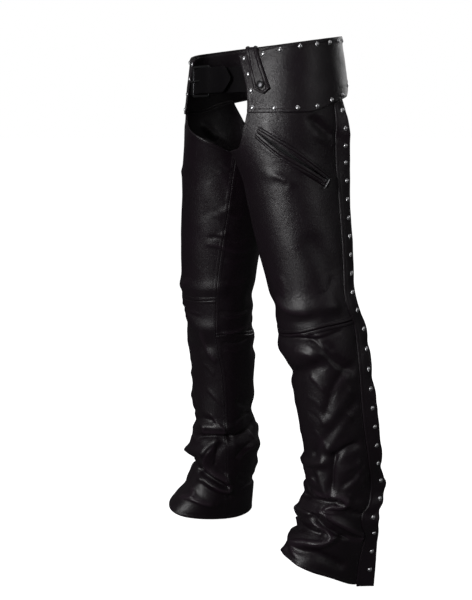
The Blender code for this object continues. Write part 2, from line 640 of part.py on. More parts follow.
def join(target, tool):
    """Joins one body to another and drops the tool."""
    change = target.modifiers.new("join", "BOOLEAN")
    change.operation = "UNION"
    change.solver = "EXACT"
    change.object = tool
    bake(target, tool)


def bake(target, tool):
    bpy.context.view_layer.update()
    shaped = target.evaluated_get(bpy.context.evaluated_depsgraph_get())
    mesh = bpy.data.meshes.new_from_object(shaped)
    target.modifiers.clear()
    target.data = mesh
    bpy.data.objects.remove(tool, do_unlink=True)


SIDES = {"left": 1, "right": -1}
for word, side in SIDES.items():
    leg_panel(f"{word}_thigh_front", side, True, FRONT_SEAM, TOP, 14)
    leg_panel(f"{word}_thigh_back", side, False, BACK_SEAM, TOP, 15)
    leg_panel(f"{word}_calf_front", side, True, HEM, FRONT_SEAM, 14)
    leg_panel(f"{word}_calf_back", side, False, HEM, BACK_SEAM, 15)
    flap(f"{word}_flap", side)
    yoke(f"yoke_{word}", side)

# The belt. Distances along it are measured round the hips from the buckle's bar.
BAR_TURN = -6.0
BELT = 0.0235           # half the strap's breadth
STRAP_THICK = 0.0030
BAR_OUT = -0.0020       # how far the bar's middle lies out of the hips' form
LOOP = 0.0046           # radius of the strap's loop round the bar
TILT = 0.075            # how much the frame's far end stands off
LEAN = 0.12             # how much the belt's lower edge leans in, in front

trial = np.linspace(-120, 120, 961)
steps = np.linalg.norm(np.diff(hip_skin(1, trial, np.ones_like(trial)), axis=0), axis=1)
lengths = np.concatenate([[0.0], np.cumsum(steps)])
lengths -= np.interp(BAR_TURN, trial, lengths)


def on_belt(along, up, out):
    """A point along the belt, up from its centre line and out from the hips' form."""
    turn = np.interp(along, lengths, trial)
    in_front = ease((turn + 62) / 16) * (1 - ease((turn - 12) / 18))
    return hip(1, turn, 1.0 + np.asarray(up), out + LEAN * in_front * (np.asarray(up) - BELT))


def bar_loop(start, end, count):
    """Points round the buckle's bar, between two angles up from straight along."""
    angles = np.radians(np.linspace(start, end, count))
    return [(LOOP * math.cos(a), BAR_OUT + LOOP * math.sin(a)) for a in angles]


under_yoke = float(np.interp(57, trial, lengths))
lie = -0.0019
left_path = [(under_yoke - k * (under_yoke - 0.030) / 9, lie) for k in range(10)]
left_path += [(0.021, -0.0014), (0.012, 0.0003)] + bar_loop(62, 298, 9)
left_path += [(0.012, -0.0060), (0.021, -0.0053), (0.031, -0.0052)]
belt_left = strap("belt_strap_left", left_path, [BELT] * len(left_path), STRAP_THICK, on_belt, STRAP)

under_right = float(np.interp(-57, trial, lengths))
right_path = [(under_right + k * (-0.080 - under_right) / 5, lie) for k in range(6)]
right_path += [(-0.068, -0.0015), (-0.060, -0.0013), (-0.050, -0.0005), (-0.040, 0.0010), (-0.030, 0.0026),
               (-0.020, 0.0043), (-0.012, 0.0056), (0.000, 0.0064), (0.010, 0.0054), (0.018, 0.0035),
               (0.026, 0.0023), (0.036, 0.0020), (0.048, 0.0020), (0.060, 0.0020), (0.070, 0.0020),
               (0.080, 0.0020)]
breadths = [BELT] * (len(right_path) - 2) + [0.66 * BELT, 0.0030]
belt_right = strap("belt_strap_right", right_path, breadths, STRAP_THICK, on_belt, STRAP)


def on_frame(along, up, out):
    """A point of the buckle, whose far end stands a little off the hips."""
    return on_belt(along, up, BAR_OUT + out - TILT * np.asarray(along))


def round_box(left, right, half, radius, per_corner=3):
    """An oblong outline with rounded corners."""
    points = []
    for a, b, start in ((right - radius, half - radius, 0), (left + radius, half - radius, 90),
                        (left + radius, radius - half, 180), (right - radius, radius - half, 270)):
        for k in range(per_corner):
            angle = math.radians(start + 90 * k / (per_corner - 1))
            points.append((a + radius * math.cos(angle), b + radius * math.sin(angle)))
    return points


collar("buckle_frame", round_box(-0.0665, 0.0017, 0.0297, 0.006), round_box(-0.0605, -0.0017, 0.0250, 0.0012),
       -0.0017, 0.0017, on_frame, GUNMETAL)

prong_path = bar_loop(-150, 80, 8)
prong_path += [(-0.0045, 0.0034), (-0.0095, 0.0048), (-0.0150, 0.0069), (-0.0220, 0.0078), (-0.0350, 0.0074),
               (-0.0500, 0.0067), (-0.0620, 0.0068), (-0.0680, 0.0066)]
strap("buckle_prong", prong_path, [0.0015] * len(prong_path), 0.0028, on_belt, GUNMETAL)
slot = add("slot", prism([(-0.0095, -0.0024), (0.0095, -0.0024), (0.0095, 0.0024), (-0.0095, 0.0024)],
                         -0.012, 0.0070, on_belt), STRAP)
cut(belt_left, slot)
hole = add("hole", prism([(-0.0225, -0.0026), (-0.0010, -0.0026), (-0.0010, 0.0026), (-0.0225, 0.0026)],
                         -0.0010, 0.0120, on_belt), STRAP)
cut(belt_right, hole)

# The loop tab over the yoke's top edge, held down by a snap.
TAB_TOP, TAB_TIP, TAB_CORNER = 1.0560, 0.9715, 0.9810
TAB_THICK = 0.0028
tab_out, tab_in = 0.0044, -0.0020
bend = 0.5 * (tab_out - tab_in)
bend_height = TAB_TOP - 0.5 * TAB_THICK - bend
arc = [(bend_height + bend * math.sin(a), tab_in + bend - bend * math.cos(a))
       for a in np.radians(np.linspace(0, 180, 6))]
tab_path = [(1.026, tab_in), (1.038, tab_in)] + arc
tab_path += [(h, tab_out) for h in (1.038, 1.026, 1.014, 1.002, 0.991, TAB_CORNER, 0.9765, TAB_TIP)]


def on_tab(height, across, out):
    """A point of the tab; across is degrees either side of its slanting middle."""
    middle = 48.0 + 7.9 * (TAB_TOP - height) / (TAB_TOP - TAB_CORNER)
    return hip(1, middle + across, height, out)


widths = [float(np.interp(h, [TAB_TIP, 0.9765, TAB_CORNER, TAB_TOP], [0.5, 3.2, 5.4, 4.5])) for h, _ in tab_path]
tab = strap("loop_tab", tab_path, widths, TAB_THICK, on_tab, LEATHER)


def turned(name, centre, axis, profile, look, sides=16):
    """A body turned about an axis from (radius, out) points, the last one on the axis."""
    axis = Vector(axis).normalized()
    first = axis.orthogonal().normalized()
    second = axis.cross(first)
    body = bmesh.new()
    rings = []
    for radius, out in profile:
        if radius == 0:
            rings.append([body.verts.new(Vector(centre) + axis * out)])
            continue
        angles = [2 * math.pi * k / sides for k in range(sides)]
        rings.append([body.verts.new(Vector(centre) + axis * out
                                     + (first * math.cos(a) + second * math.sin(a)) * radius) for a in angles])
    for a, b in zip(rings, rings[1:]):
        for k in range(sides):
            corners = [a[k % len(a)], a[(k + 1) % len(a)], b[(k + 1) % len(b)], b[k % len(b)]]
            body.faces.new(list(dict.fromkeys(corners)))
    return add(name, body, look)


snap_at = hip(1, np.array(55.3), np.array(0.9875), np.array(tab_out + 0.5 * TAB_THICK))
snap_axis = outward(hip_skin, 1, 55.3, 0.9875)
turned("tab_snap", snap_at, snap_axis, [(0, 0.0007), (0.0074, 0.0007), (0.0074, 0.0016), (0.0064, 0.0024),
                                        (0.0035, 0.0032), (0, 0.0034)], GUNMETAL)

# The slant pocket: two welts with a zip between them.
POCKET_START, POCKET_END = Point(20.7, 0.9036), Point(97.0, 0.8125)
POCKET_REACH = 0.112    # the thigh's radius there
Welt = namedtuple("Welt", "part mouth width")
WELTS = [
    Welt(0.0, 0.0006, 0.0098), Welt(0.15, 0.0028, 0.0104), Welt(0.30, 0.0042, 0.0108), Welt(0.50, 0.0036, 0.0114),
    Welt(0.70, 0.0024, 0.0114), Welt(0.90, 0.0013, 0.0112), Welt(1.0, 0.0008, 0.0110),
]
run = np.array([math.radians(POCKET_END.turn - POCKET_START.turn) * POCKET_REACH,
                POCKET_END.height - POCKET_START.height])
POCKET_LENGTH = float(np.linalg.norm(run))
along_way = run / POCKET_LENGTH
across_way = np.array([-along_way[1], along_way[0]])
stations = np.linspace(0, 1, 13)


def on_pocket(along, across, out):
    """A point of the pocket, along it and up across it, in metres."""
    along, across = np.asarray(along, float), np.asarray(across, float)
    sag = -0.0040 * np.sin(math.pi * np.clip(along / POCKET_LENGTH, 0, 1))
    flat_x = along * along_way[0] + (across + sag) * across_way[0]
    flat_y = along * along_way[1] + (across + sag) * across_way[1]
    return leg(1, POCKET_START.turn + np.degrees(flat_x / POCKET_REACH), POCKET_START.height + flat_y, out)


def mouth(part):
    """Half the pocket's opening at a fraction of its length."""
    return read(WELTS, part)[..., 0]


for word, sign in (("upper", 1), ("lower", -1)):
    fractions = np.array([1.0, 0.62, 0.2, 0.0])
    raised = np.array([0.0019, 0.0028, 0.0031, 0.0023])
    across = sign * (mouth(stations)[:, None] + read(WELTS, stations)[:, 1:] * fractions[None, :])
    along = stations[:, None] * POCKET_LENGTH + 0 * across
    slab(f"pocket_welt_{word}", on_pocket(along, across, raised[None, :] + 0 * across),
         on_pocket(along, across, np.full_like(across, 0.0007)), LEATHER)

inset = stations[1:-1]
across = (mouth(inset) - GAP)[:, None] * np.array([-1.0, 1.0])[None, :]
along = inset[:, None] * POCKET_LENGTH + 0 * across
slab("pocket_zip", on_pocket(along, across, np.full_like(across, 0.0016)),
     on_pocket(along, across, np.full_like(across, 0.0007)), TAPE)

# The zip's slider, and its pull hanging from the slider's bridge.
SLIDER = 0.955 * POCKET_LENGTH
seat = Vector(on_pocket(SLIDER, 0.0, 0.0))
way = (Vector(on_pocket(SLIDER + 0.004, 0.0, 0.0)) - Vector(on_pocket(SLIDER - 0.004, 0.0, 0.0))).normalized()
rise = Vector(on_pocket(SLIDER, 0.0, 0.004)) - seat
rise = (rise - way * rise.dot(way)).normalized()
over = rise.cross(way)


def on_slider(along, across, out):
    """A point beside the slider: along the zip, across it and out from the leather."""
    return [seat + way * a + over * b + rise * c for a, b, c in zip(along, across, out)]


def block(name, a, b, c, look):
    """A box given by its limits along, across and out."""
    corners = [(a[0], b[0]), (a[1], b[0]), (a[1], b[1]), (a[0], b[1])]
    return add(name, prism(corners, c[0], c[1], on_slider), look)


BRIDGE = 0.0084         # how far out the bridge's middle is
slider = block("zip_slider", (-0.0055, 0.0055), (-0.0040, 0.0040), (0.0036, 0.0050), GUNMETAL)
join(slider, block("post_a", (-0.0052, -0.0038), (-0.0009, 0.0009), (0.0045, BRIDGE), GUNMETAL))
join(slider, block("post_b", (0.0038, 0.0052), (-0.0009, 0.0009), (0.0045, BRIDGE), GUNMETAL))


def on_bridge(across, out, along):
    return [seat + way * a + over * b + rise * (BRIDGE + c) for a, b, c in zip(along, across, out)]


octagon = [(0.00095 * math.cos(math.radians(45 * k + 22.5)), 0.00095 * math.sin(math.radians(45 * k + 22.5)))
           for k in range(8)]
join(slider, add("bridge", prism(octagon, -0.0056, 0.0056, on_bridge), GUNMETAL))

hinge = seat + rise * BRIDGE
down = Vector((0, 0, -1))
down = (down - way * down.dot(way)).normalized()
aside = way.cross(down)


def on_pull(down_by, aside_by, along):
    return [hinge + down * a + aside * b + way * c for a, b, c in zip(down_by, aside_by, along)]


eye = [(0.00130 * math.cos(math.radians(30 * k)), 0.00130 * math.sin(math.radians(30 * k))) for k in range(12)]
paddle = [(0.0190, 0.0), (0.0180, 0.0016), (0.0060, 0.0022), (0.0, 0.0023), (-0.0012, 0.0020), (-0.0020, 0.0011),
          (-0.0023, 0.0), (-0.0020, -0.0011), (-0.0012, -0.0020), (0.0, -0.0023), (0.0060, -0.0022),
          (0.0180, -0.0016)]
collar("zip_pull", paddle, eye, -0.00065, 0.00065, on_pull, CHROME)
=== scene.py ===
# %% [markdown]
# # Studded leather chaps
# A worn garment has no stiff shape of its own: it is a set of flat pieces of leather, sewn
# together and hung over a form. This notebook first describes that form as smooth ovals,
# then lays every piece of leather on it as a fine grid, and last adds studs, thread, belt
# and zip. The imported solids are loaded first, and each new piece stands for one of them.

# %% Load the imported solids
import math
from collections import namedtuple
from functools import partial

import bmesh
import bpy
import numpy as np
from mathutils import Matrix, Vector


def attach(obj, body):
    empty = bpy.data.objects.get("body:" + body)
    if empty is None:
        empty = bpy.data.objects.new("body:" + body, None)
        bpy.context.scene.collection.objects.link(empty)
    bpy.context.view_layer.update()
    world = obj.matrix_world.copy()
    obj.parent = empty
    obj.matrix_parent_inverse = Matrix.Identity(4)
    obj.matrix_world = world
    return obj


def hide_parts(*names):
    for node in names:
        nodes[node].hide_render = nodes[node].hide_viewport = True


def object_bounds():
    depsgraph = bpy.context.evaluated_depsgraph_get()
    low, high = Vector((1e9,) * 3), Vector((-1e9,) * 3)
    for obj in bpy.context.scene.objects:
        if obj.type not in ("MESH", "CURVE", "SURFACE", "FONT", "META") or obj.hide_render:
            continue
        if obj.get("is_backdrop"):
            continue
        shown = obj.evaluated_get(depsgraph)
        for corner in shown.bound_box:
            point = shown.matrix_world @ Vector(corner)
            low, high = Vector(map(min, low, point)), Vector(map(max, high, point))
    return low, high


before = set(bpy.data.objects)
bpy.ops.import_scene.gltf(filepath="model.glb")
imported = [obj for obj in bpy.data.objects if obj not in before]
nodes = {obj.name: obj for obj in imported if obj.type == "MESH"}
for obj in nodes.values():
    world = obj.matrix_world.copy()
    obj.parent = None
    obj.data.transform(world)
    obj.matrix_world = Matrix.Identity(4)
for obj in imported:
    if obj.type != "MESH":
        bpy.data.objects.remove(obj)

cad_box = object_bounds()
print("solids:", len(nodes), "box:", [round(c, 3) for corner in cad_box for c in corner])

# %% [markdown]
# ## Camera
# The photograph looks at the garment's left front from just below the belt, tipped down.
# Distance and lens belong together: a short lens close by makes near things large, and
# this one was found from how the two legs differ in size.

# %% Camera
EYE = Vector((1.40284, -1.00180, -0.08358))
HEADING, TIP = math.radians(56.0825), math.radians(-11.835)


def show(name, data):
    """Puts a new object into the scene."""
    made = bpy.data.objects.new(name, data)
    bpy.context.scene.collection.objects.link(made)
    return made


lens_data = bpy.data.cameras.new("photo_camera")
lens_data.sensor_width = 36.0
lens_data.lens = 50.106
camera = show("photo_camera", lens_data)
forward = Vector((-math.sin(HEADING) * math.cos(TIP), math.cos(HEADING) * math.cos(TIP), math.sin(TIP)))
camera.location = EYE
camera.rotation_euler = forward.to_track_quat("-Z", "Y").to_euler()
bpy.context.scene.camera = camera
print("camera looks along", [round(c, 3) for c in forward])

# %% [markdown]
# ## Floor and light
# Black leather shows its shape only through what it mirrors, so the light matters more
# than the colour. A narrow lamp in front gives the long highlights on the thighs, wide
# ones fill in, and a dim sky keeps the hollows dark. The floor is plain and pale.

# %% Floor
FLOOR_GLOW = 0.96
FLOOR_AT = cad_box[0].z - 0.004
floor_body = bmesh.new()
bmesh.ops.create_circle(floor_body, cap_ends=True, segments=96, radius=60.0)
bmesh.ops.translate(floor_body, verts=floor_body.verts, vec=(0, 0, FLOOR_AT))
floor_mesh = bpy.data.meshes.new("floor")
floor_body.to_mesh(floor_mesh)
floor_body.free()
floor = show("floor", floor_mesh)
floor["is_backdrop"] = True

paper = bpy.data.materials.new("white_paper")
paper.use_nodes = True
floor_mesh.materials.append(paper)
paper_nodes, paper_links = paper.node_tree.nodes, paper.node_tree.links
paper_shader = paper_nodes["Principled BSDF"]
paper_shader.inputs["Roughness"].default_value = 0.9
paper_shader.inputs["Specular IOR Level"].default_value = 0.0
paper_shader.inputs["Emission Color"].default_value = (1, 1, 1, 1)
seen = paper_nodes.new("ShaderNodeLightPath")
tint = paper_nodes.new("ShaderNodeMix")
tint.data_type = "RGBA"
tint.inputs["A"].default_value = (0.10, 0.10, 0.10, 1)
tint.inputs["B"].default_value = (0.85, 0.85, 0.85, 1)
glow = paper_nodes.new("ShaderNodeMix")
glow.inputs["A"].default_value = 0.0
glow.inputs["B"].default_value = FLOOR_GLOW
for mixer in (tint, glow):
    paper_links.new(seen.outputs["Is Camera Ray"], mixer.inputs["Factor"])
paper_links.new(tint.outputs["Result"], paper_shader.inputs["Base Color"])
paper_links.new(glow.outputs["Result"], paper_shader.inputs["Emission Strength"])
print("floor at", round(FLOOR_AT, 3))

# %% Lights
Lamp = namedtuple("Lamp", "name at aim wide tall power")
LAMPS = [
    Lamp("key", (0.68, -2.10, 0.34), (0.13, 0.0, -0.12), 0.42, 0.80, 21.0),
    Lamp("low_fill", (0.60, -2.4, -0.35), (0.15, 0.0, -0.75), 1.4, 1.0, 8.0),
    Lamp("wide", (3.1, -1.2, 0.5), (0.1, 0.0, -0.4), 2.4, 2.4, 0.6),
    Lamp("side", (2.8, 1.0, 0.6), (0.1, 0.0, -0.3), 0.5, 1.4, 4.5),
    Lamp("back", (-0.9, 2.8, 0.9), (0.0, 0.0, -0.4), 1.2, 1.6, 14.0),
    Lamp("top", (0.0, -0.3, 2.6), (0.0, 0.0, 0.0), 1.6, 1.2, 14.0),
]


def light(lamp):
    """A soft lamp, wide and tall as named, turned toward a point."""
    data = bpy.data.lights.new(lamp.name, "AREA")
    data.shape = "RECTANGLE"
    data.size, data.size_y = lamp.wide, lamp.tall
    data.energy = lamp.power
    made = show(lamp.name, data)
    made.location = lamp.at
    made.rotation_euler = (Vector(lamp.aim) - Vector(lamp.at)).to_track_quat("-Z", "Y").to_euler()
    return made


lamps = [light(lamp) for lamp in LAMPS]
sky = bpy.data.worlds.new("sky")
bpy.context.scene.world = sky
sky.use_nodes = True
sky_nodes, sky_links = sky.node_tree.nodes, sky.node_tree.links
backdrop = sky_nodes["Background"]
backdrop.inputs["Color"].default_value = (1, 1, 1, 1)
ray = sky_nodes.new("ShaderNodeLightPath")
strength = sky_nodes.new("ShaderNodeMix")
strength.inputs["A"].default_value = 0.08
strength.inputs["B"].default_value = 1.0
sky_links.new(ray.outputs["Is Camera Ray"], strength.inputs["Factor"])
sky_links.new(strength.outputs["Result"], backdrop.inputs["Strength"])
bpy.context.scene.view_settings.view_transform = "Standard"
print("lamps:", [lamp.name for lamp in lamps])

# %% [markdown]
# ## The form under the leather
# Hips and legs are ovals whose size changes with height. A table row gives the oval at
# one height, and a smooth curve through the rows gives it everywhere else. All heights
# count from the hems' heels, a metre below the belt. Tables give lengths in millimetres
# and turns in degrees, counted from straight ahead out to the side.

# %% Ovals of the hips and legs
FLOOR = -1.0
WALL = 0.0022
ROUNDNESS = 2.15
LEG_RADIUS = 0.080
MM = 0.001


def table(units, rows):
    """Rows of numbers as an array, each column times its unit."""
    return np.array(rows, float) * units


# height, half the width, depth in front and behind
HIPS = table(MM, [
    (800, 194, 127, 152), (935, 194, 126.2, 154), (970, 190.3, 121.7, 150.8),
    (1030, 184.2, 113.9, 141.5), (1060, 181.2, 110, 134.8), (1100, 179, 108, 127),
])

# height, left x and y, right x and y, half the width, left and right depth in front, depth behind
LEGS = table(MM, [
    (-30, 173, 73, 210, 27, 71, 158, 154, 86), (30, 179, 71, 199, 27, 70, 145, 140, 85),
    (80, 186, 69, 190, 27, 69, 118, 94, 83), (120, 191, 69, 185, 27, 68.5, 95, 73, 83),
    (160, 196, 69, 181, 27, 68, 83, 81, 83), (260, 197, 63, 177, 23, 69, 71, 71, 80),
    (360, 188, 51, 173, 17, 72, 74, 68, 80), (440, 177, 42, 168, 9, 76, 74, 73, 81),
    (520, 162, 32, 161, 1, 80, 79, 78, 80), (620, 141, 21, 148, -3, 83, 85, 85, 85),
    (720, 122, 12, 131, -2, 88, 93, 93, 97), (820, 104, 6, 114, -1, 91, 101, 101, 110),
    (930, 89, 1, 97, 1, 94, 111, 111, 125),
])
print("ovals:", len(HIPS), "for the hips,", len(LEGS), "for the legs")

# %% Smooth curves through a table


def read(rows, at):
    """Reads every column after the first, along a smooth curve through the rows."""
    keys, values = rows[:, 0], rows[:, 1:]
    at = np.clip(np.asarray(at, float), keys[0], keys[-1])
    steps = np.diff(keys)
    rates = np.diff(values, axis=0) / steps[:, None]
    slopes = np.vstack([rates[:1], 0.5 * (rates[1:] + rates[:-1]), rates[-1:]])
    i = np.clip(np.searchsorted(keys, at, side="right") - 1, 0, len(steps) - 1)
    s = ((at - keys[i]) / steps[i])[..., None]
    step = steps[i][..., None]
    return ((2 * s**3 - 3 * s**2 + 1) * values[i] + (s**3 - 2 * s**2 + s) * step * slopes[i]
            + (3 * s**2 - 2 * s**3) * values[i + 1] + (s**3 - s**2) * step * slopes[i + 1])


def straight(rows, at, column):
    """Reads one column along straight lines, for edges with corners."""
    return np.interp(at, rows[:, 0], rows[:, column])


def even(count):
    """Evenly spaced fractions from 0 to 1."""
    return np.linspace(0, 1, count)


def gone_along(line):
    """How far along a line each of its points lies."""
    return np.concatenate([[0.0], np.cumsum(np.linalg.norm(np.diff(line, axis=0), axis=1))])


def spots(at, keys, rows):
    """Reads every column of some rows along straight lines."""
    return np.column_stack([np.interp(at, keys, column) for column in rows.T])


def both(turn, height):
    """Turns and heights as arrays of one shape."""
    return np.broadcast_arrays(np.asarray(turn, float), np.asarray(height, float))


def ease(x):
    """Runs from 0 to 1 with a soft start and end."""
    x = np.clip(x, 0.0, 1.0)
    return x * x * (3 - 2 * x)


print("a thigh half way up is", round(float(read(LEGS, 0.72)[4]) * 2, 3), "wide")

# %% Points on the form


def oval(turn, half_width, front, back):
    """How far an oval reaches at a turn."""
    across, along = np.sin(turn), np.cos(turn)
    depth = np.where(along > 0, front, back)
    sides = np.abs(across / half_width) ** ROUNDNESS + np.abs(along / depth) ** ROUNDNESS
    return sides ** (-1 / ROUNDNESS)


def hip_reach(x, y, turn, height):
    """How far the hips' oval lies from a point inside it, looking along a turn."""
    section = read(HIPS, height)
    near, far = np.zeros_like(x), np.full_like(x, 0.6)
    for _ in range(26):
        middle = 0.5 * (near + far)
        px, py = x + middle * np.sin(turn), y - middle * np.cos(turn)
        inside = np.hypot(px, py) < oval(np.arctan2(px, -py), *np.moveaxis(section, -1, 0))
        near, far = np.where(inside, middle, near), np.where(inside, far, middle)
    return 0.5 * (near + far)


def hip_skin(side, turn, height):
    """A point of the hips' smooth form."""
    turn, height = both(np.radians(turn), height)
    reach = oval(turn, *np.moveaxis(read(HIPS, height), -1, 0))
    return np.stack([side * reach * np.sin(turn), -reach * np.cos(turn), FLOOR + height], -1)


def leg_skin(side, turn, height):
    """A point of a leg's smooth form, running into the hips' form at the yoke."""
    turn, height = both(turn, height)
    row = read(LEGS, height)
    x, y, front = (row[..., k] for k in ((0, 1, 5) if side > 0 else (2, 3, 6)))
    angle = np.radians(turn)
    reach = oval(angle, row[..., 4], front, row[..., 7])
    round_from_inside = (turn + 90) % 360 - 90
    outer = ease((round_from_inside + 60) / 55) * (1 - ease((round_from_inside - 190) / 50))
    share = ease((height - 0.80) / 0.135) * outer
    reach = reach + (hip_reach(x, y, angle, height) - reach) * share
    return np.stack([side * (x + reach * np.sin(angle)), y - reach * np.cos(angle), FLOOR + height], -1)


def outward(skin, side, turn, height):
    """The direction straight out of a smooth form."""
    turn, height = both(turn, height)
    round_step = skin(side, turn + 0.2, height) - skin(side, turn - 0.2, height)
    up_step = skin(side, turn, height + 0.002) - skin(side, turn, height - 0.002)
    normal = side * np.cross(round_step, up_step)
    return normal / np.linalg.norm(normal, axis=-1, keepdims=True)


print("knee, outside:", [round(float(c), 3) for c in leg_skin(1, 90, 0.52)])

# %% [markdown]
# ## Seams and edges
# The cut is described by where its seams run, as turns round the leg, and by how high
# its cross seams and open edges lie at each turn. The same numbers place the leather,
# the thread and the studs, so they always meet.

# %% Seams, hems and open edges
# height, turn of the inseam, turns of the left and the right outseam
SEAMS = table((MM, 1, 1, 1), [
    (-30, -68, 92, 96), (50, -68, 94, 96), (100, -67, 99, 97), (145, -64, 88, 98), (190, -62, 104, 102),
    (220, -62, 107, 103), (260, -62, 103, 102), (350, -60, 101, 101), (450, -53, 104, 104),
    (540, -54, 108, 106), (580, -55, 101, 102), (660, -58, 106, 106), (800, -62, 113, 112),
    (960, -66, 107, 107),
])
# turn, height on the left leg and on the right one
HEMS = table((1, MM, MM), [
    (-180, -24, -11), (-140, -16, -8), (-104, -3, -5), (-51, 34, 6), (-20, 59, 20), (0, 63, 31),
    (15, 55, 37), (31, 40, 33), (74, 0, 10), (105, -14, -6), (135, -23, -12), (180, -24, -11),
])
FRONT_KNEE = table((1, MM, MM), [
    (-70, 532, 545), (-50, 524, 544), (-28, 517, 541), (0, 522, 537), (25, 530, 538), (61, 544, 545),
    (110, 551, 550),
])
BACK_KNEE = table((1, MM, MM), [
    (90, 478, 478), (150, 456, 456), (200, 448, 450), (235, 452, 453), (285, 464, 464), (312, 462, 462),
])
OPENING = table((1, MM, MM), [
    (-70, 860, 858), (-52, 862, 866), (-40, 865, 878), (-22, 868, 895), (-8, 872, 908), (-4, 876, 912),
    (1, 889, 918), (7, 915, 925), (11, 941, 941),
])
SEAT = table((1, MM, MM), [
    (98, 985, 985), (118, 985, 985), (122, 974, 974), (127, 955, 955), (136, 925, 925), (150, 900, 900),
    (180, 877, 877), (220, 863, 863), (298, 860, 858),
])
print("edges:", len(HEMS) + len(FRONT_KNEE) + len(BACK_KNEE) + len(OPENING) + len(SEAT), "points")

# %% The yoke's outline and studs
# turn, height of the bottom and of the top
YOKE = table((1, MM, MM), [
    (36, 938.5, 1042.5), (48, 938.5, 1046.5), (57, 938.2, 1049), (67, 938.5, 1055.2), (78, 939, 1062),
    (83, 939.5, 1064.5), (88, 943.5, 1067), (98, 955, 1072), (108, 963.5, 1076.5), (116, 969, 1079.5),
    (120, 976.5, 1080.5), (124, 984.5, 1082), (130, 991.5, 1083.5), (145, 996, 1086),
    (160, 998.5, 1087.5), (180, 1000, 1088),
])
# turn, height
YOKE_FRONT = table((1, MM), [
    (45.9, 938.5), (45.8, 954), (44.8, 985), (42.2, 1006), (38.9, 1030), (36.7, 1042),
])
YOKE_STUDS = table((1, MM), [
    (42.2, 1035), (56.6, 1042), (66.8, 1048.5), (78, 1054.5), (88.3, 1059.5), (98.2, 1064),
    (107.5, 1068.5), (117.5, 1072), (127.5, 1075), (137.5, 1077), (147.5, 1078), (157, 1079),
    (166.5, 1079.5), (175.5, 1079.5), (46, 1006.9), (48.4, 977.7), (49.4, 947), (63.1, 946),
    (75.7, 946.5), (86.9, 950), (97.4, 961.5), (108.6, 971.5), (119.6, 990.5), (131, 999.5),
    (143.5, 1003.5), (156, 1006), (169.5, 1007.5),
])
print("yoke studs:", len(YOKE_STUDS), "a side")

# %% The flap's stand and studs
FLAP_WIDTH = 0.029
FLAP_STUDS = 26
FLAP_BOTTOM = -0.013
# height, how far the free edge stands off
STANDS = table(MM, [
    (-30, 19), (50, 17), (85, 11.5), (116, 11.5), (145, 18), (168, 13), (200, 6.5), (240, 12.5),
    (280, 8.5), (340, 13.5), (410, 10.5), (510, 10), (555, 5.5), (620, 3), (700, 5.8), (760, 4),
    (800, 7), (850, 12.5), (900, 15), (930, 9.5), (955, 1.5), (980, 0.4),
])
# number from the top, height
STUD_ROWS = table((1, MM), [
    (0, 943), (3, 846), (8, 673), (11, 567), (20, 220), (22, 150), (25, 26),
])
print("flap studs:", FLAP_STUDS, "a side")
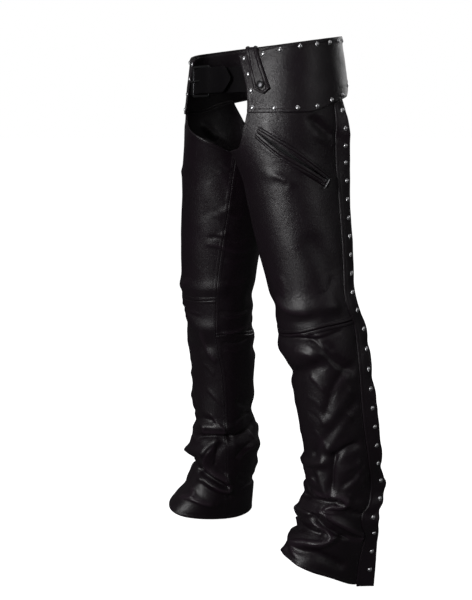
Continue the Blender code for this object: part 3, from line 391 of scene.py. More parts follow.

# %% [markdown]
# ## Folds
# Worn leather breaks into folds where it has more length than the leg under it: over
# the knee, down the calf and most of all above the instep, where the long hem stacks.
# A fold is a soft ridge or trough along a short curve on the form. Each is placed one by
# one, uneven in length, depth and spacing, and their sum moves the leather in or out.
# A row begins with the legs that have it; where both do, one of them has it fainter
# and a little lower, so that the two legs don't match.

# %% Large folds
Fold = namedtuple("Fold", "legs a_turn a_height b_turn b_height c_turn c_height rise width")
FOLD_ROWS = (
    ("L", -2, 575, 35, 578, 80, 583, 5, 15), ("L", -60, 568, -38, 567, -18, 571, -5.5, 17),
    ("L", -50, 490, 0, 485, 45, 497, 10.5, 21), ("L", -50, 434, 5, 446, 45, 474, -6, 12),
    ("L", -30, 512, 35, 520, 62, 503, -3, 8), ("R", -60, 572, 0, 566, 24, 570, 4, 16),
    ("R", -45, 478, -15, 481, 8, 488, 5.5, 18), ("R", 20, 480, 36, 478, 62, 482, -6, 24),
    ("R", -40, 436, -10, 430, 20, 434, -3.5, 14), ("LR", 40, 521, 60, 488, 90, 456, -4, 9),
    ("LR", 92, 464, 62, 436, 41, 376, -4.5, 10), ("LR", 78, 412, 59, 387, 37, 357, 3.8, 10),
    ("LR", 90, 391, 56, 352, 8, 284, -4, 10), ("LR", 72, 366, 55, 340, 34, 302, 4.5, 10),
    ("LR", 84, 309, 60, 300, 42, 284, -4, 8), ("LR", 42, 285, 39, 247, 32, 203, -5, 8),
    ("LR", 82, 266, 94, 247, 86, 228, 3.5, 10), ("LR", 60, 255, 70, 235, 62, 212, 4, 14),
    ("L", 14, 240, 20, 222, 27, 206, 5, 11), ("L", -75, 252, -25, 252, 22, 270, 8.5, 11),
    ("L", -70, 222, -30, 222, 5, 232, -4, 9), ("L", -75, 186, -40, 183, -12, 186, -6, 11),
    ("L", -24, 180, 8, 186, 42, 189, -5.5, 6), ("L", -85, 134, -24, 148, 20, 166, 7, 9),
    ("L", -75, 119, -20, 124, 24, 121, -10.5, 8), ("L", -8, 92, 20, 98, 46, 119, 6.5, 9),
    ("L", 2, 86, 30, 81, 60, 47, -4, 9), ("LR", 30, 161, 56, 141, 92, 113, 6, 10),
    ("LR", 10, 154, 46, 124, 89, 98, -5.5, 7), ("LR", 60, 190, 88, 176, 118, 180, 5, 12),
    ("LR", 62, 172, 90, 155, 120, 160, -4, 9), ("L", -4, 86, -6, 74, 6, 62, -3, 6),
    ("LR", 8, 90, 32, 75, 62, 50, -3.5, 12), ("R", 60, 262, 0, 256, -35, 253, -5, 9),
    ("R", 62, 236, 28, 236, 2, 240, -8.5, 14), ("LR", -5, 238, -42, 237, -68, 236, 5, 10),
    ("LR", 22, 206, -32, 213, -70, 211, -6, 8), ("LR", -70, 211, -96, 215, -130, 228, -5, 9),
    ("R", 70, 163, 28, 160, -20, 176, 9, 13.5), ("LR", -80, 190, -108, 184, -136, 176, 8, 19),
    ("R", -168, 168, -150, 166, -125, 164, 5, 28), ("LR", -42, 206, -22, 150, -66, 101, 5, 9),
    ("LR", -54, 196, -42, 158, -60, 122, -4, 10), ("R", 70, 138, 20, 133, -10, 124, -4.5, 9),
    ("LR", -10, 121, -34, 112, -70, 87, -5, 7), ("LR", -17, 103, -45, 90, -70, 75, 5.5, 8),
    ("LR", -24, 96, -46, 76, -73, 59, -4, 7), ("R", -14, 63, -30, 53, -52, 44, 3, 9),
    ("LR", -94, 103, -114, 88, -150, 78, -5.5, 10), ("LR", -92, 296, -107, 287, -132, 278, -5, 10),
    ("LR", 130, 282, 165, 268, 188, 276, 6, 15), ("LR", 125, 246, 160, 236, 186, 244, -6, 12),
    ("R", 188, 260, 208, 258, 240, 256, -10.5, 26), ("R", 185, 330, 208, 330, 240, 326, -5, 36),
    ("LR", 128, 206, 165, 196, 196, 208, 8, 15), ("LR", 132, 163, 165, 156, 192, 162, -6.5, 11),
    ("LR", 126, 124, 170, 118, 208, 126, 6, 13), ("LR", 136, 84, 184, 76, 214, 80, -4, 12),
    ("LR", 130, 432, 180, 420, 226, 424, -5, 14), ("LR", 135, 400, 165, 388, 194, 394, 5, 15),
    ("R", 192, 466, 212, 468, 240, 468, -5.5, 16), ("LR", 132, 500, 184, 508, 228, 500, -5, 14),
    ("LR", 140, 536, 165, 546, 190, 540, 4, 16), ("R", 192, 542, 214, 540, 240, 540, -5.5, 22),
    ("LR", 80, 924, 94, 908, 108, 893, -4, 9), ("LR", 86, 897, 97, 891, 107, 887, 2.5, 7),
    ("LR", 27, 827, 38, 821, 48, 815, 2.5, 10), ("L", 66, 700, 84, 650, 96, 610, -3.5, 20),
    ("R", -30, 790, -44, 760, -57, 742, 3.5, 13), ("R", -38, 728, -48, 708, -57, 690, 2.5, 10),
)
FOLDS = [Fold(legs, *table((1, MM, 1, MM, 1, MM, MM, MM), row)) for legs, *row in FOLD_ROWS]
print("large folds:", len(FOLDS))

# %% How folds move the leather


def fold_depth(side, turn, height):
    """How far all the folds together move the leather out at each point of a leg."""
    turn, height = both(turn, height)
    total = np.zeros(turn.shape)
    own = "L" if side > 0 else "R"
    for fold in FOLDS:
        if own not in fold.legs:
            continue
        guest = len(fold.legs) == 2 and (fold.b_turn > 0) != (side > 0)
        drop, share = (0.007, 0.85) if guest else (0.0, 1.0)
        t = even(7)[:, None]
        a, b, c = (np.array(p) for p in (fold[1:3], fold[3:5], fold[5:7]))
        path = (1 - t) * (1 - 2 * t) * a + 4 * t * (1 - t) * b + t * (2 * t - 1) * c
        path[:, 1] -= drop
        nearest = np.full(turn.shape, 9.0)
        for start, end in zip(path[:-1], path[1:]):
            dx = np.radians((turn - start[0] + 180) % 360 - 180) * LEG_RADIUS
            dy = height - start[1]
            ex, ey = math.radians(end[0] - start[0]) * LEG_RADIUS, end[1] - start[1]
            along = np.clip((dx * ex + dy * ey) / (ex * ex + ey * ey), 0, 1)
            nearest = np.minimum(nearest, np.hypot(dx - along * ex, dy - along * ey))
        total += share * fold.rise * np.exp(-((nearest / fold.width) ** 2))
    seam = read(SEAMS, height)[..., 1 if side > 0 else 2]
    from_seam = np.abs((turn - seam + 180) % 360 - 180)
    stiff = 1 - 0.6 * np.exp(-((from_seam / 16) ** 2))
    return total * stiff


Crease = namedtuple("Crease", "legs rise left right path")
# legs, rise, width on the left and on the right, then turn and height of each point
CREASE_ROWS = (
    # front of the thigh
    ("LR", 1.6, 6, 3, (30, 826, 37, 823, 45, 815)), ("LR", -1.4, 3, 6, (30, 817, 38, 813, 46, 806)),
    ("LR", 1.2, 10, 14, (27, 930, 33, 905, 36, 880)), ("LR", -1.8, 4, 8, (80, 926, 92, 910, 105, 893)),
    ("LR", -1.4, 4, 6, (84, 903, 95, 893, 107, 882)), ("LR", 1.2, 6, 12, (13, 640, 17, 618, 10, 594)),
    ("LR", 2, 12, 4.5, (-12, 592, 2, 583, 13, 572, 30, 568, 52, 572)),
    ("LR", -1.2, 6, 9, (-20, 552, 10, 548, 36, 553, 62, 566)),
    ("LR", -1, 5, 7, (60, 600, 74, 612, 88, 640)),
    # the leather stands up along both sides of the pocket
    ("L", 1.4, 3, 3, (19, 886, 34.6, 864, 53.4, 840.5, 68, 824)),
    ("L", 1.1, 3, 3, (26, 909, 36, 901, 61.7, 867, 88, 838)),
    # inner side of the thigh, where the inseam draws it up
    ("RL", 1.3, 3, 10, (-41, 826, -49, 812, -56, 795, -59, 776, -57, 758)),
    ("R", -2.9, 14, 14, (-18, 799, -31, 788, -44, 761, -57, 742)),
    ("R", -2.1, 11, 11, (-27, 736, -39, 727, -48, 709, -57, 690)),
    ("RL", 1.4, 3, 6, (-44, 840, -52, 831, -59, 824)),
    ("RL", 1.2, 3, 8, (-42, 737, -50, 721, -57, 699)),
    ("RL", 1.6, 3, 7, (-60, 733, -74, 724, -88, 732)),
    ("RL", -2.4, 4, 3, (-32, 684, -53, 684, -74, 676, -92, 680, -110, 689)),
    ("RL", 1.8, 3, 8, (-30, 670, -52, 665, -72, 653, -94, 649, -118, 660)),
    ("RL", 1.4, 4, 8, (-62, 633, -82, 626, -106, 634)),
    ("RL", -1.6, 4, 4, (-62, 594, -86, 588, -118, 597)),
    ("RL", 1.4, 3, 7, (-64, 583, -84, 577, -110, 584)),
    ("RL", -2, 3, 4, (-58, 522, -76, 514, -96, 513, -123, 521)),
    ("RL", 1.6, 3, 6, (-60, 507, -80, 500, -112, 506)),
    # knee
    ("LR", 1.6, 4, 2.5, (-34, 515, 0, 518, 24, 526.5, 42, 525.5, 66, 533)),
    ("LR", -2.6, 3, 6, (-36, 508, 0, 513, 24, 519, 42, 517, 52, 502, 66, 475, 88, 455)),
    ("LR", -1.4, 3, 4, (40, 519, 60, 526, 86, 537)),
    ("LR", 1.4, 4, 9, (6, 502, 26, 497, 42, 484, 52, 466)),
    ("LR", -0.8, 3, 5, (88, 463, 66, 443, 50, 412, 42, 378)),
    ("LR", 1.6, 6, 6, (22, 448, 34, 436, 44, 418)), ("LR", 1.2, 6, 8, (-20, 470, 0, 466, 18, 474)),
    ("RL", 1.8, 6, 10, (-26, 484, -28, 440, -40, 412, -52, 396)),
    ("RL", 2.4, 3, 6, (-60, 468, -80, 466, -104, 471, -134, 466)),
    ("RL", -2.6, 3, 3, (-58, 446, -78, 441, -98, 443, -116, 450)),
    ("RL", 1.4, 4, 6, (-62, 428, -84, 420, -108, 428)),
    # calf
    ("LR", -2.4, 12, 11, (84, 418, 60, 389, 32, 350)),
    ("LR", 1.6, 11, 11, (98, 398, 73, 372, 56, 352, 34, 322, 4, 282)),
    ("LR", -2.7, 12, 11, (76, 372, 54, 341, 34, 300)),
    ("LR", 1.8, 11, 11, (98, 468, 70, 444, 54, 420, 38, 370)),
    ("LR", 1.6, 9, 9, (42, 290, 39, 247, 31, 198)), ("LR", -2.2, 14, 14, (66, 262, 69, 235, 60, 204)),
    ("LR", -1, 3, 6, (62, 420, 52, 404, 46, 384)), ("LR", 0.9, 4, 7, (12, 404, 26, 398, 36, 386)),
    ("LR", -1, 3, 5, (8, 372, 22, 366, 32, 352)), ("LR", 1, 3, 8, (14, 338, 24, 326, 30, 308)),
    ("RL", 1, 3, 6, (-20, 392, -34, 380, -44, 362)), ("RL", -1.2, 3, 6, (-62, 372, -78, 356, -96, 350)),
    ("RL", 1.2, 3, 7, (-24, 330, -38, 316, -50, 300, -58, 288)),
    ("LR", -3.4, 2.8, 8.5, (92, 309, 76, 308, 59, 300, 46, 284, 39, 262, 37, 233, 33, 206)),
    ("LR", 1.6, 7, 7, (90, 268, 78, 242, 64, 226, 50, 214)),
    ("LR", -1.8, 5, 6, (96, 272, 78, 250, 64, 236, 48, 221)),
    # stacked at the ankle, in front
    ("L", 4.4, 9, 2.6, (-18, 203, 7, 199, 20, 197, 33, 200.5, 43, 199.5, 51, 197, 56, 191, 55, 184,
        47, 181, 38, 181.5, 29, 178, 26, 172, 36, 168, 52, 166)),
    ("LR", -3.2, 2.2, 3.2, (-26, 150, -4, 157, 10, 157, 20, 144, 36, 131, 54, 117, 74, 104)),
    ("LR", 3.6, 8, 2.6, (12, 171, 24, 166, 42, 150, 61, 134, 84, 114, 94, 106, 94, 99, 82, 102,
        64, 113, 48, 125)),
    ("L", 4.4, 9, 2.6, (0, 147, 15, 137, 28, 131, 36, 124, 37, 116, 33, 109, 24, 106, 11, 104, 1, 97,
        -5, 88, -1, 80, 6, 74, 13, 68)), ("LR", -1.6, 5, 8, (6, 93, 21, 90, 36, 76, 50, 55, 60, 45)),
    ("L", -2.2, 3, 5, (-30, 243, -12, 247, 6, 252)), ("L", 1.4, 4, 4, (-22, 226, -2, 225, 14, 216)),
    ("LR", -2, 4, 5, (70, 170, 84, 158, 96, 160)),
    # stacked at the ankle, on the inner side
    ("RL", 3, 2.6, 7, (-18, 244, -20, 230, -22, 221, -42, 224, -58, 223, -66, 229)),
    ("RL", -2.6, 3, 5, (2, 190, -10, 203, -24, 212, -42, 215.5, -66, 214, -92, 211, -118, 213)),
    ("RL", 1.8, 4, 4, (-31, 272, -42, 256, -54, 240, -62, 230)),
    ("RL", 4.2, 2.6, 9, (-43, 208, -39, 191, -31, 175, -25, 159, -23, 143, -30, 128, -42, 118,
        -55, 109, -65, 99, -71, 88, -69, 78, -57, 82, -46, 90, -32, 97)),
    ("RL", -1.8, 3, 4, (-47, 196, -44, 172, -42, 152, -39, 141)),
    ("RL", -2.4, 3, 5, (4, 125, -13, 119, -31, 112, -44, 104, -61, 90)),
    ("RL", 3.4, 2.6, 8, (4, 54, -12, 60, -23, 57, -35, 50, -49, 43)),
    ("RL", 3, 2.6, 6, (-6, 82, -14, 72, -17, 60)),
    ("RL", -2.2, 4, 4, (-80, 152, -86, 172, -98, 186, -118, 192)),
    ("RL", 2.2, 4, 7, (-88, 150, -97, 166, -108, 176, -124, 178)),
    ("RL", -2.2, 4, 5, (-76, 244, -95, 256, -114, 257, -134, 254)),
    ("RL", -2.2, 3, 4, (-98, 74, -120, 76, -146, 71)),
    ("RL", 2.2, 3, 3, (-113, 220, -119, 206, -124, 195)),
    # behind the knee and calf
    ("LR", -2.6, 3, 6, (128, 470, 150, 476, 178, 472, 206, 478)),
    ("LR", 2, 3, 7, (134, 446, 160, 440, 188, 446, 214, 440)),
    ("LR", -2.2, 3, 6, (142, 425, 170, 418, 196, 424)),
    ("LR", 1.6, 5, 8, (150, 520, 176, 528, 204, 522)),
    ("LR", -1.8, 4, 7, (138, 545, 164, 538, 190, 545)),
    ("LR", 1.6, 6, 10, (120, 380, 140, 366, 160, 352)),
    ("LR", -1.8, 5, 6, (214, 372, 196, 356, 182, 334)),
    # behind the ankle
    ("LR", 2.8, 3, 9, (126, 290, 146, 281, 168, 276, 190, 284)),
    ("LR", -2.8, 3, 6, (124, 256, 148, 246, 172, 244, 196, 254)),
    ("LR", 3, 2.6, 8, (122, 222, 142, 212, 166, 207, 188, 213, 204, 226)),
    ("LR", -2.6, 3, 5, (130, 190, 152, 184, 178, 188, 198, 184)),
    ("LR", 2.6, 2.6, 8, (126, 146, 148, 138, 172, 136, 196, 143)),
    ("LR", -2.6, 3, 6, (134, 110, 158, 102, 184, 103, 206, 110)),
    ("LR", 2, 3, 7, (140, 70, 164, 63, 190, 64, 212, 70)),
)
CREASES = [Crease(legs, *table(MM, shape), table((1, MM), np.reshape(path, (-1, 2))))
           for legs, *shape, path in CREASE_ROWS]


def crease_depth(side, turn, height):
    """How far the fine creases move the leather, each steeper on one side than the other."""
    turn, height = both(turn, height)
    total = np.zeros(turn.shape)
    own = "L" if side > 0 else "R"
    for crease in CREASES:
        if own not in crease.legs:
            continue
        guest = crease.legs[0] != own
        drop, share = (0.006, 0.8) if guest else (0.0, 1.0)
        steps = np.arange(len(crease.path), dtype=float)
        rows = np.column_stack([steps, crease.path])
        fine = read(rows, np.linspace(0, steps[-1], 4 * len(crease.path)))
        fine[:, 1] -= drop
        middle = fine.mean(axis=0)
        px = np.radians((turn - middle[0] + 180) % 360 - 180) * LEG_RADIUS
        py = height - middle[1]
        lx, ly = np.radians(fine[:, 0] - middle[0]) * LEG_RADIUS, fine[:, 1] - middle[1]
        reach = 3 * max(crease.left, crease.right)
        close = (px > lx.min() - reach) & (px < lx.max() + reach)
        close &= (py > ly.min() - reach) & (py < ly.max() + reach)
        px, py = px[close], py[close]
        nearest, part, on_left = np.full(px.shape, 9.0), np.zeros(px.shape), np.zeros(px.shape)
        for k in range(len(fine) - 1):
            ex, ey = lx[k + 1] - lx[k], ly[k + 1] - ly[k]
            dx, dy = px - lx[k], py - ly[k]
            t = np.clip((dx * ex + dy * ey) / (ex * ex + ey * ey), 0, 1)
            far = np.hypot(dx - t * ex, dy - t * ey)
            better = far < nearest
            nearest = np.where(better, far, nearest)
            part = np.where(better, (k + t) / (len(fine) - 1), part)
            on_left = np.where(better, (ex * dy - ey * dx) > 0, on_left)
        width = np.where(on_left > 0.5, crease.left, crease.right)
        fade = ease(part / 0.16) * ease((1 - part) / 0.16)
        total[close] += share * crease.rise * fade * np.exp(-((nearest / width) ** 2))
    return total


Wave = namedtuple("Wave", "round_count rise_count phase size")
WAVES = [
    Wave(3, 2.3, 0.4, 0.00030), Wave(-2, 5.1, 1.9, 0.00034), Wave(5, 7.7, 3.1, 0.00022),
    Wave(-7, 11.3, 0.9, 0.00016), Wave(4, -17.9, 2.2, 0.00013), Wave(11, 9.1, 4.6, 0.00010),
]


def relief(side, turn, height):
    """All that moves the leather off the smooth form: folds, creases and a slight waviness."""
    turn, height = both(turn, height)
    angle = np.radians(turn) + (0.0 if side > 0 else 1.3)
    wavy = sum(w.size * np.sin(w.round_count * angle + 2 * math.pi * w.rise_count * height + w.phase)
               for w in WAVES)
    return fold_depth(side, turn, height) + crease_depth(side, turn, height) + wavy


def leg(side, turn, height, out=0.0):
    """A point of a leg's outer leather, folds included, moved out by a distance."""
    depth = relief(side, turn, height) + out
    return leg_skin(side, turn, height) + depth[..., None] * outward(leg_skin, side, turn, height)


def polish(side, turn, height):
    """How far wear has polished the leather: ridges rub smooth and hollows stay dull. The same value also
    paints the ridges lighter, a painted highlight.
    """
    return np.clip(crease_depth(side, turn, height) / 0.0026, -1, 1)


def hip(side, turn, height, out=0.0):
    """A point over the hips' form, moved out by a distance."""
    base = hip_skin(side, turn, height)
    depth = np.broadcast_to(np.asarray(out, float), base.shape[:-1])
    return base + depth[..., None] * outward(hip_skin, side, turn, height)


print("deepest fold:", round(1000 * max(abs(fold.rise) for fold in FOLDS), 1), "mm")

# %% [markdown]
# ## Materials as arithmetic
# A material is a small sum: grain plus creases plus wear. A thin class lets it be
# written as one, so `1 - mask` adds the node that subtracts. Everything else, such as a
# noise or a bump, comes from one method that takes the node's type and its values.

# %% A field and a recipe


def arithmetic(operation, swapped=False):
    """A method that adds the node for one operation, with its two values in order or swapped."""
    def method(self, other):
        pair = {0: other, 1: self} if swapped else {0: self, 1: other}
        return self.recipe.node("ShaderNodeMath", {"operation": operation}, pair)
    return method


class Field:
    """One output in a material's nodes, which can be added, multiplied and so on."""

    def __init__(self, recipe, socket):
        self.recipe, self.socket = recipe, socket

    __add__, __radd__ = arithmetic("ADD"), arithmetic("ADD", True)
    __sub__, __rsub__ = arithmetic("SUBTRACT"), arithmetic("SUBTRACT", True)
    __mul__ = arithmetic("MULTIPLY")


class Recipe:
    """A material and its nodes."""

    def __init__(self, name):
        self.material = bpy.data.materials.new(name)
        self.material.use_nodes = True
        self.tree = self.material.node_tree
        self.shader = self.tree.nodes["Principled BSDF"]

    def feed(self, socket, value):
        if isinstance(value, Field):
            self.tree.links.new(value.socket, socket)
        else:
            socket.default_value = value

    def node(self, kind, settings=None, inputs=None, output=0):
        """Adds a node, sets it up, feeds it, and gives one of its outputs."""
        made = self.tree.nodes.new(kind)
        for key, value in (settings or {}).items():
            setattr(made, key, value)
        for key, value in (inputs or {}).items():
            self.feed(made.inputs[key], value)
        return Field(self, made.outputs[output])

    def where(self):
        return self.node("ShaderNodeTexCoord", output="Object")

    def mark(self, name):
        """A value that the piece's points carry, 0 on a piece without it."""
        return self.node("ShaderNodeAttribute", {"attribute_name": name}, output="Fac")

    def noise(self, where, scale, detail=2.0, rough=0.5, bent=0.0):
        values = {"Vector": where, "Scale": scale, "Detail": detail, "Roughness": rough}
        return self.node("ShaderNodeTexNoise", None, {**values, "Distortion": bent})

    def cells(self, where, scale):
        """How far a place is from the border of its cell in a random mosaic."""
        return self.node("ShaderNodeTexVoronoi", {"feature": "DISTANCE_TO_EDGE"},
                         {"Vector": where, "Scale": scale})

    def blend(self, share, first, second):
        """Mixes two colours."""
        return self.node("ShaderNodeMix", {"data_type": "RGBA"}, {0: share, 6: first, 7: second}, output=2)

    def ramp(self, value, low, high):
        """Runs from 0 to 1 as a value goes from low to high."""
        spread = {"Value": value, "From Min": low, "From Max": high}
        return self.node("ShaderNodeMapRange", {"interpolation_type": "SMOOTHSTEP"}, spread)

    def finish(self, **sockets):
        for name, value in sockets.items():
            self.feed(self.shader.inputs[name.replace("_", " ")], value)
        return self.material

    def bump(self, height, distance, strength=1.0):
        values = {"Height": height, "Distance": distance, "Strength": strength}
        return self.node("ShaderNodeBump", None, values)


print("recipes ready")

# %% [markdown]
# ## Garment leather
# Soft black cowhide: a fine pebble of closed cells about a millimetre across, shallow
# creases ten times that size, and a shine that is patchy because handling polishes the
# high places. The colour hardly varies, but the fold ridges get a painted highlight; what
# the eye reads is the roughness.

# %% Leather recipe


def garment_leather(name, dark, light_tone, shine, crease, pucker, gloss):
    """Black leather with grain, shallow creases and a patchy shine."""
    look = Recipe(name)
    place = look.where()
    patches = look.noise(place, 16.0, 3.0, 0.6)
    worn = look.noise(place, 70.0, 4.0, 0.65, 0.6)
    cells = look.cells(place, 820.0)
    grain = look.ramp(cells, 0.0, 0.16)
    creases = look.noise(place, 95.0, 5.0, 0.62, 1.6)
    bend = look.node("ShaderNodeTexNoise", None, {"Vector": place, "Scale": 60.0, "Detail": 3.0}, "Color")
    pushed = {0: bend, 1: (0.012,) * 3, 2: place}
    plates = look.cells(look.node("ShaderNodeVectorMath", {"operation": "MULTIPLY_ADD"}, pushed), 290.0)
    wrinkles = look.ramp(plates, 0.0, 0.22) * look.ramp(worn, 0.30, 0.62)
    near_seam = 1 - look.ramp(look.mark("edge"), 0.002, 0.022)
    puckers = look.noise(place, 170.0, 3.0, 0.55, 0.8)
    # Wear polish on the fold ridges. Below, it also paints their colour lighter, a painted highlight.
    rubbed_and_painted_highlight = look.mark("polish")
    folded = look.noise(place, 55.0, 4.0, 0.55, 1.4)
    away = look.node("ShaderNodeMath", {"operation": "ABSOLUTE"}, {0: (folded - 0.5) * 2})
    lines = (1 - look.ramp(away, 0.0, 0.14)) * look.ramp(patches, 0.35, 0.65)
    height = (grain * 0.04 + creases * crease + worn * 0.3 + wrinkles * 0.03 - lines * 0.03
              + puckers * near_seam * pucker)
    plain_tone = look.blend(look.ramp(patches, 0.3, 0.75), (*dark, 1), (*light_tone, 1))
    # Painted highlight: fold ridges are painted lighter, standing in for the light they catch, with a little
    # real wear polish.
    colour = look.blend(look.ramp(rubbed_and_painted_highlight, 0.15, 1.0) * 0.8, plain_tone, (*[1.8 * c for c in light_tone], 1))
    roughness = shine + worn * 0.14 - look.ramp(patches, 0.35, 0.7) * 0.08 - rubbed_and_painted_highlight * 0.07
    look.shader.inputs["Specular IOR Level"].default_value = gloss
    return look.finish(Base_Color=colour, Roughness=roughness, Normal=look.bump(height, 0.0013, 0.7))


GARMENT_TONES = ((0.0072, 0.0036, 0.0064), (0.0112, 0.0064, 0.0102))
BELT_TONES = ((0.0030, 0.0024, 0.0032), (0.0044, 0.0036, 0.0046))
LEATHER = garment_leather("black_leather_look", *GARMENT_TONES,
                          shine=0.35, crease=0.55, pucker=0.45, gloss=0.5)
BELTING = garment_leather("belt_leather_look", *BELT_TONES,
                          shine=0.62, crease=0.35, pucker=0.0, gloss=0.10)
print("leathers:", LEATHER.name, BELTING.name)

# %% Metal, thread and tape recipes


def metal(name, colour, shine, wear):
    """Plated metal with faint scuffs."""
    look = Recipe(name)
    place = look.where()
    scuffs = look.noise(place, 420.0, 4.0, 0.7, 0.8)
    tone = look.blend(look.ramp(scuffs, 0.35, 0.8), (*colour, 1), (*[c * 0.82 for c in colour], 1))
    return look.finish(Base_Color=tone, Metallic=1.0, Roughness=shine + scuffs * wear,
                       Normal=look.bump(scuffs, 0.00004, 0.4))


def spun(name, colour, shine, scale):
    """Thread or tape: matt, with a fine lengthwise ripple."""
    look = Recipe(name)
    place = look.where()
    ply = look.noise(place, scale, 2.0, 0.5)
    tone = look.blend(ply, (*colour, 1), (*[c * 1.9 for c in colour], 1))
    return look.finish(Base_Color=tone, Roughness=shine + ply * 0.1, Normal=look.bump(ply, 0.0002, 0.6))


CHROME = metal("polished_steel_look", (0.74, 0.74, 0.76), 0.24, 0.12)
GUNMETAL = metal("dark_steel_look", (0.085, 0.085, 0.090), 0.26, 0.16)
ZIP_METAL = metal("zip_teeth_look", (0.022, 0.022, 0.024), 0.34, 0.20)
THREAD = spun("thread_look", (0.010, 0.010, 0.011), 0.50, 2600.0)
TAPE = spun("zip_tape_look", (0.010, 0.010, 0.011), 0.75, 1900.0)
print("finishes:", CHROME.name, GUNMETAL.name, THREAD.name, TAPE.name)

# %% [markdown]
# ## Laying leather on the form
# A flat grid is Blender's nearest thing to a cut hide. Its columns and rows are crowded
# together along the edges, where the leather rolls under into a seam, and spaced evenly
# in between. Each point is then moved to its place on the form, and a Solidify modifier
# gives the sheet its thickness, inward, so that the outside stays where it was laid.

# %% Helpers for sheets
ROLL = (0.0, 0.0004, 0.0010, 0.0019, 0.0030, 0.0042, 0.0052, 0.0058, 0.0064, 0.0072, 0.0084)


def crowded(length, count, busy=None):
    """Fractions along a length, close together at both ends and, if given, in busy stretches.

    busy is a list of (fraction, how many times closer) pairs, read along straight lines."""
    near = np.array(ROLL) / length
    inside = np.linspace(near[-1], 1 - near[-1], 2001)
    rate = np.ones(2001) if busy is None else np.interp(inside, [b[0] for b in busy], [b[1] for b in busy])
    gone = np.concatenate([[0.0], np.cumsum(0.5 * (rate[1:] + rate[:-1]))])
    middle = np.interp(np.linspace(0, gone[-1], count - 2 * len(near) + 2)[1:-1], gone, inside)
    return np.concatenate([near, middle, 1 - near[::-1]])


def rolled(distance, full=1.0):
    """A seam's raised band, where leather lies double, with the dent of its stitching beside it."""
    band = 0.0008 * full * (1 - ease((distance - 0.0054) / 0.0018))
    dent = -0.0003 * np.exp(-(((distance - 0.0046) / 0.0007) ** 2))
    return band + dent - 0.0013 * full * np.exp(-((distance / 0.0009) ** 2))


def keep(name, body, look, marks=None):
    """Turns a bmesh into a smooth-shaded object; marks are values that its points carry."""
    mesh = bpy.data.meshes.new(name)
    body.to_mesh(mesh)
    body.free()
    mesh.shade_smooth()
    mesh.materials.append(look)
    for mark, values in (marks or {}).items():
        mesh.attributes.new(mark, "FLOAT", "POINT").data.foreach_set("value", values.astype(np.float32))
    return show(name, mesh)


def lay(name, columns, rows, place, thickness, look, flip):
    """A sheet of leather: a grid whose points place(a, b) puts on the form."""
    body = bmesh.new()
    body.loops.layers.uv.new("cut")
    bmesh.ops.create_grid(body, x_segments=len(columns) - 1, y_segments=len(rows) - 1, size=0.5,
                          calc_uvs=True)
    flat = np.array([v.co[:2] for v in body.verts]) + 0.5
    a, b = (np.interp(flat[:, k], even(len(cuts)), cuts) for k, cuts in ((0, columns), (1, rows)))
    points, marks = place(a, b)
    for vert, point in zip(body.verts, points):
        vert.co = point
    if flip:
        bmesh.ops.reverse_faces(body, faces=body.faces)
    area = sum(face.calc_area() for face in body.faces)
    made = keep(name, body, look, marks)
    wall = made.modifiers.new("wall", "SOLIDIFY")
    wall.thickness = thickness
    wall.offset = -1
    print(name, "grid", len(columns), "by", len(rows), "area", round(area, 4), "m2")
    return made


dressed = []


def dress(piece, nodes_stood_for, body="garment"):
    """Lets a finished piece ride on its body and stand for its solids."""
    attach(piece, body)
    if nodes_stood_for:
        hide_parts(*nodes_stood_for)
    dressed.append(piece)
    return piece


print("helpers ready, seams roll over", ROLL[-1], "m")

# %% [markdown]
# ## The four panels of each leg
# A leg is cut in four: thigh and calf, front and back. They meet at the inseam, at the
# outseam and at two cross seams by the knee, the back one lower than the front one so
# that the bulk of leather isn't all in the bend.

# %% Edges of the panels


def seam_turns(side, height):
    """The turns of the inseam and the outseam at a height."""
    row = read(SEAMS, height)
    return row[..., 0], row[..., 1 if side > 0 else 2]


def yoke_turn(side, turn, height):
    """The turn round the hips of a point of a leg."""
    point = leg_skin(side, turn, height)
    return np.degrees(np.arctan2(side * point[..., 0], -point[..., 1]))


def top_edge(side, turn):
    """Height of a leg's top edge: open in front, tucked under the yoke, open behind."""
    column = 1 if side > 0 else 2
    tucked = straight(YOKE, yoke_turn(side, turn, np.full_like(turn, 0.95)), 1) + 0.009
    front = np.where(turn < 11, straight(OPENING, turn, column), tucked)
    return np.where(turn < 95, front, np.minimum(front, straight(SEAT, turn, column)))


def hem(side, turn):
    round_turn = (turn + 180) % 360 - 180
    return read(HEMS, round_turn)[..., 0 if side > 0 else 1]


def front_knee(side, turn):
    return read(FRONT_KNEE, turn)[..., 0 if side > 0 else 1]


def back_knee(side, turn):
    return read(BACK_KNEE, turn)[..., 0 if side > 0 else 1]


print("front knee seam:", round(float(front_knee(1, 0.0)), 3), "back:", round(float(back_knee(1, 180.0)), 3))

# %% Lay the panels
LAP = math.degrees(0.0003 / 0.075)
SIDES = {"left": 1, "right": -1}
Cut = namedtuple("Cut", "name front lower upper columns rows width length flat area busy")
CUTS = [
    Cut("thigh_front", True, front_knee, top_edge, 96, 130, 0.26, 0.38, (0.30, 0.44), 0.105,
        [(0, 2.0), (0.15, 1.0), (1, 1.0)]),
    Cut("thigh_back", False, back_knee, top_edge, 84, 130, 0.28, 0.44, (0.33, 0.54), 0.133,
        [(0, 1.8), (0.2, 1.0), (1, 1.0)]),
    Cut("calf_front", True, hem, front_knee, 128, 262, 0.24, 0.53, (0.30, 0.58), 0.122,
        [(0, 1.4), (0.10, 2.4), (0.45, 2.4), (0.60, 1.0), (0.85, 1.0), (0.94, 2.0), (1, 2.0)]),
    Cut("calf_back", False, hem, back_knee, 112, 202, 0.27, 0.47, (0.33, 0.53), 0.129,
        [(0, 1.4), (0.10, 2.2), (0.55, 2.2), (0.70, 1.0), (0.85, 1.4), (1, 1.8)]),
]


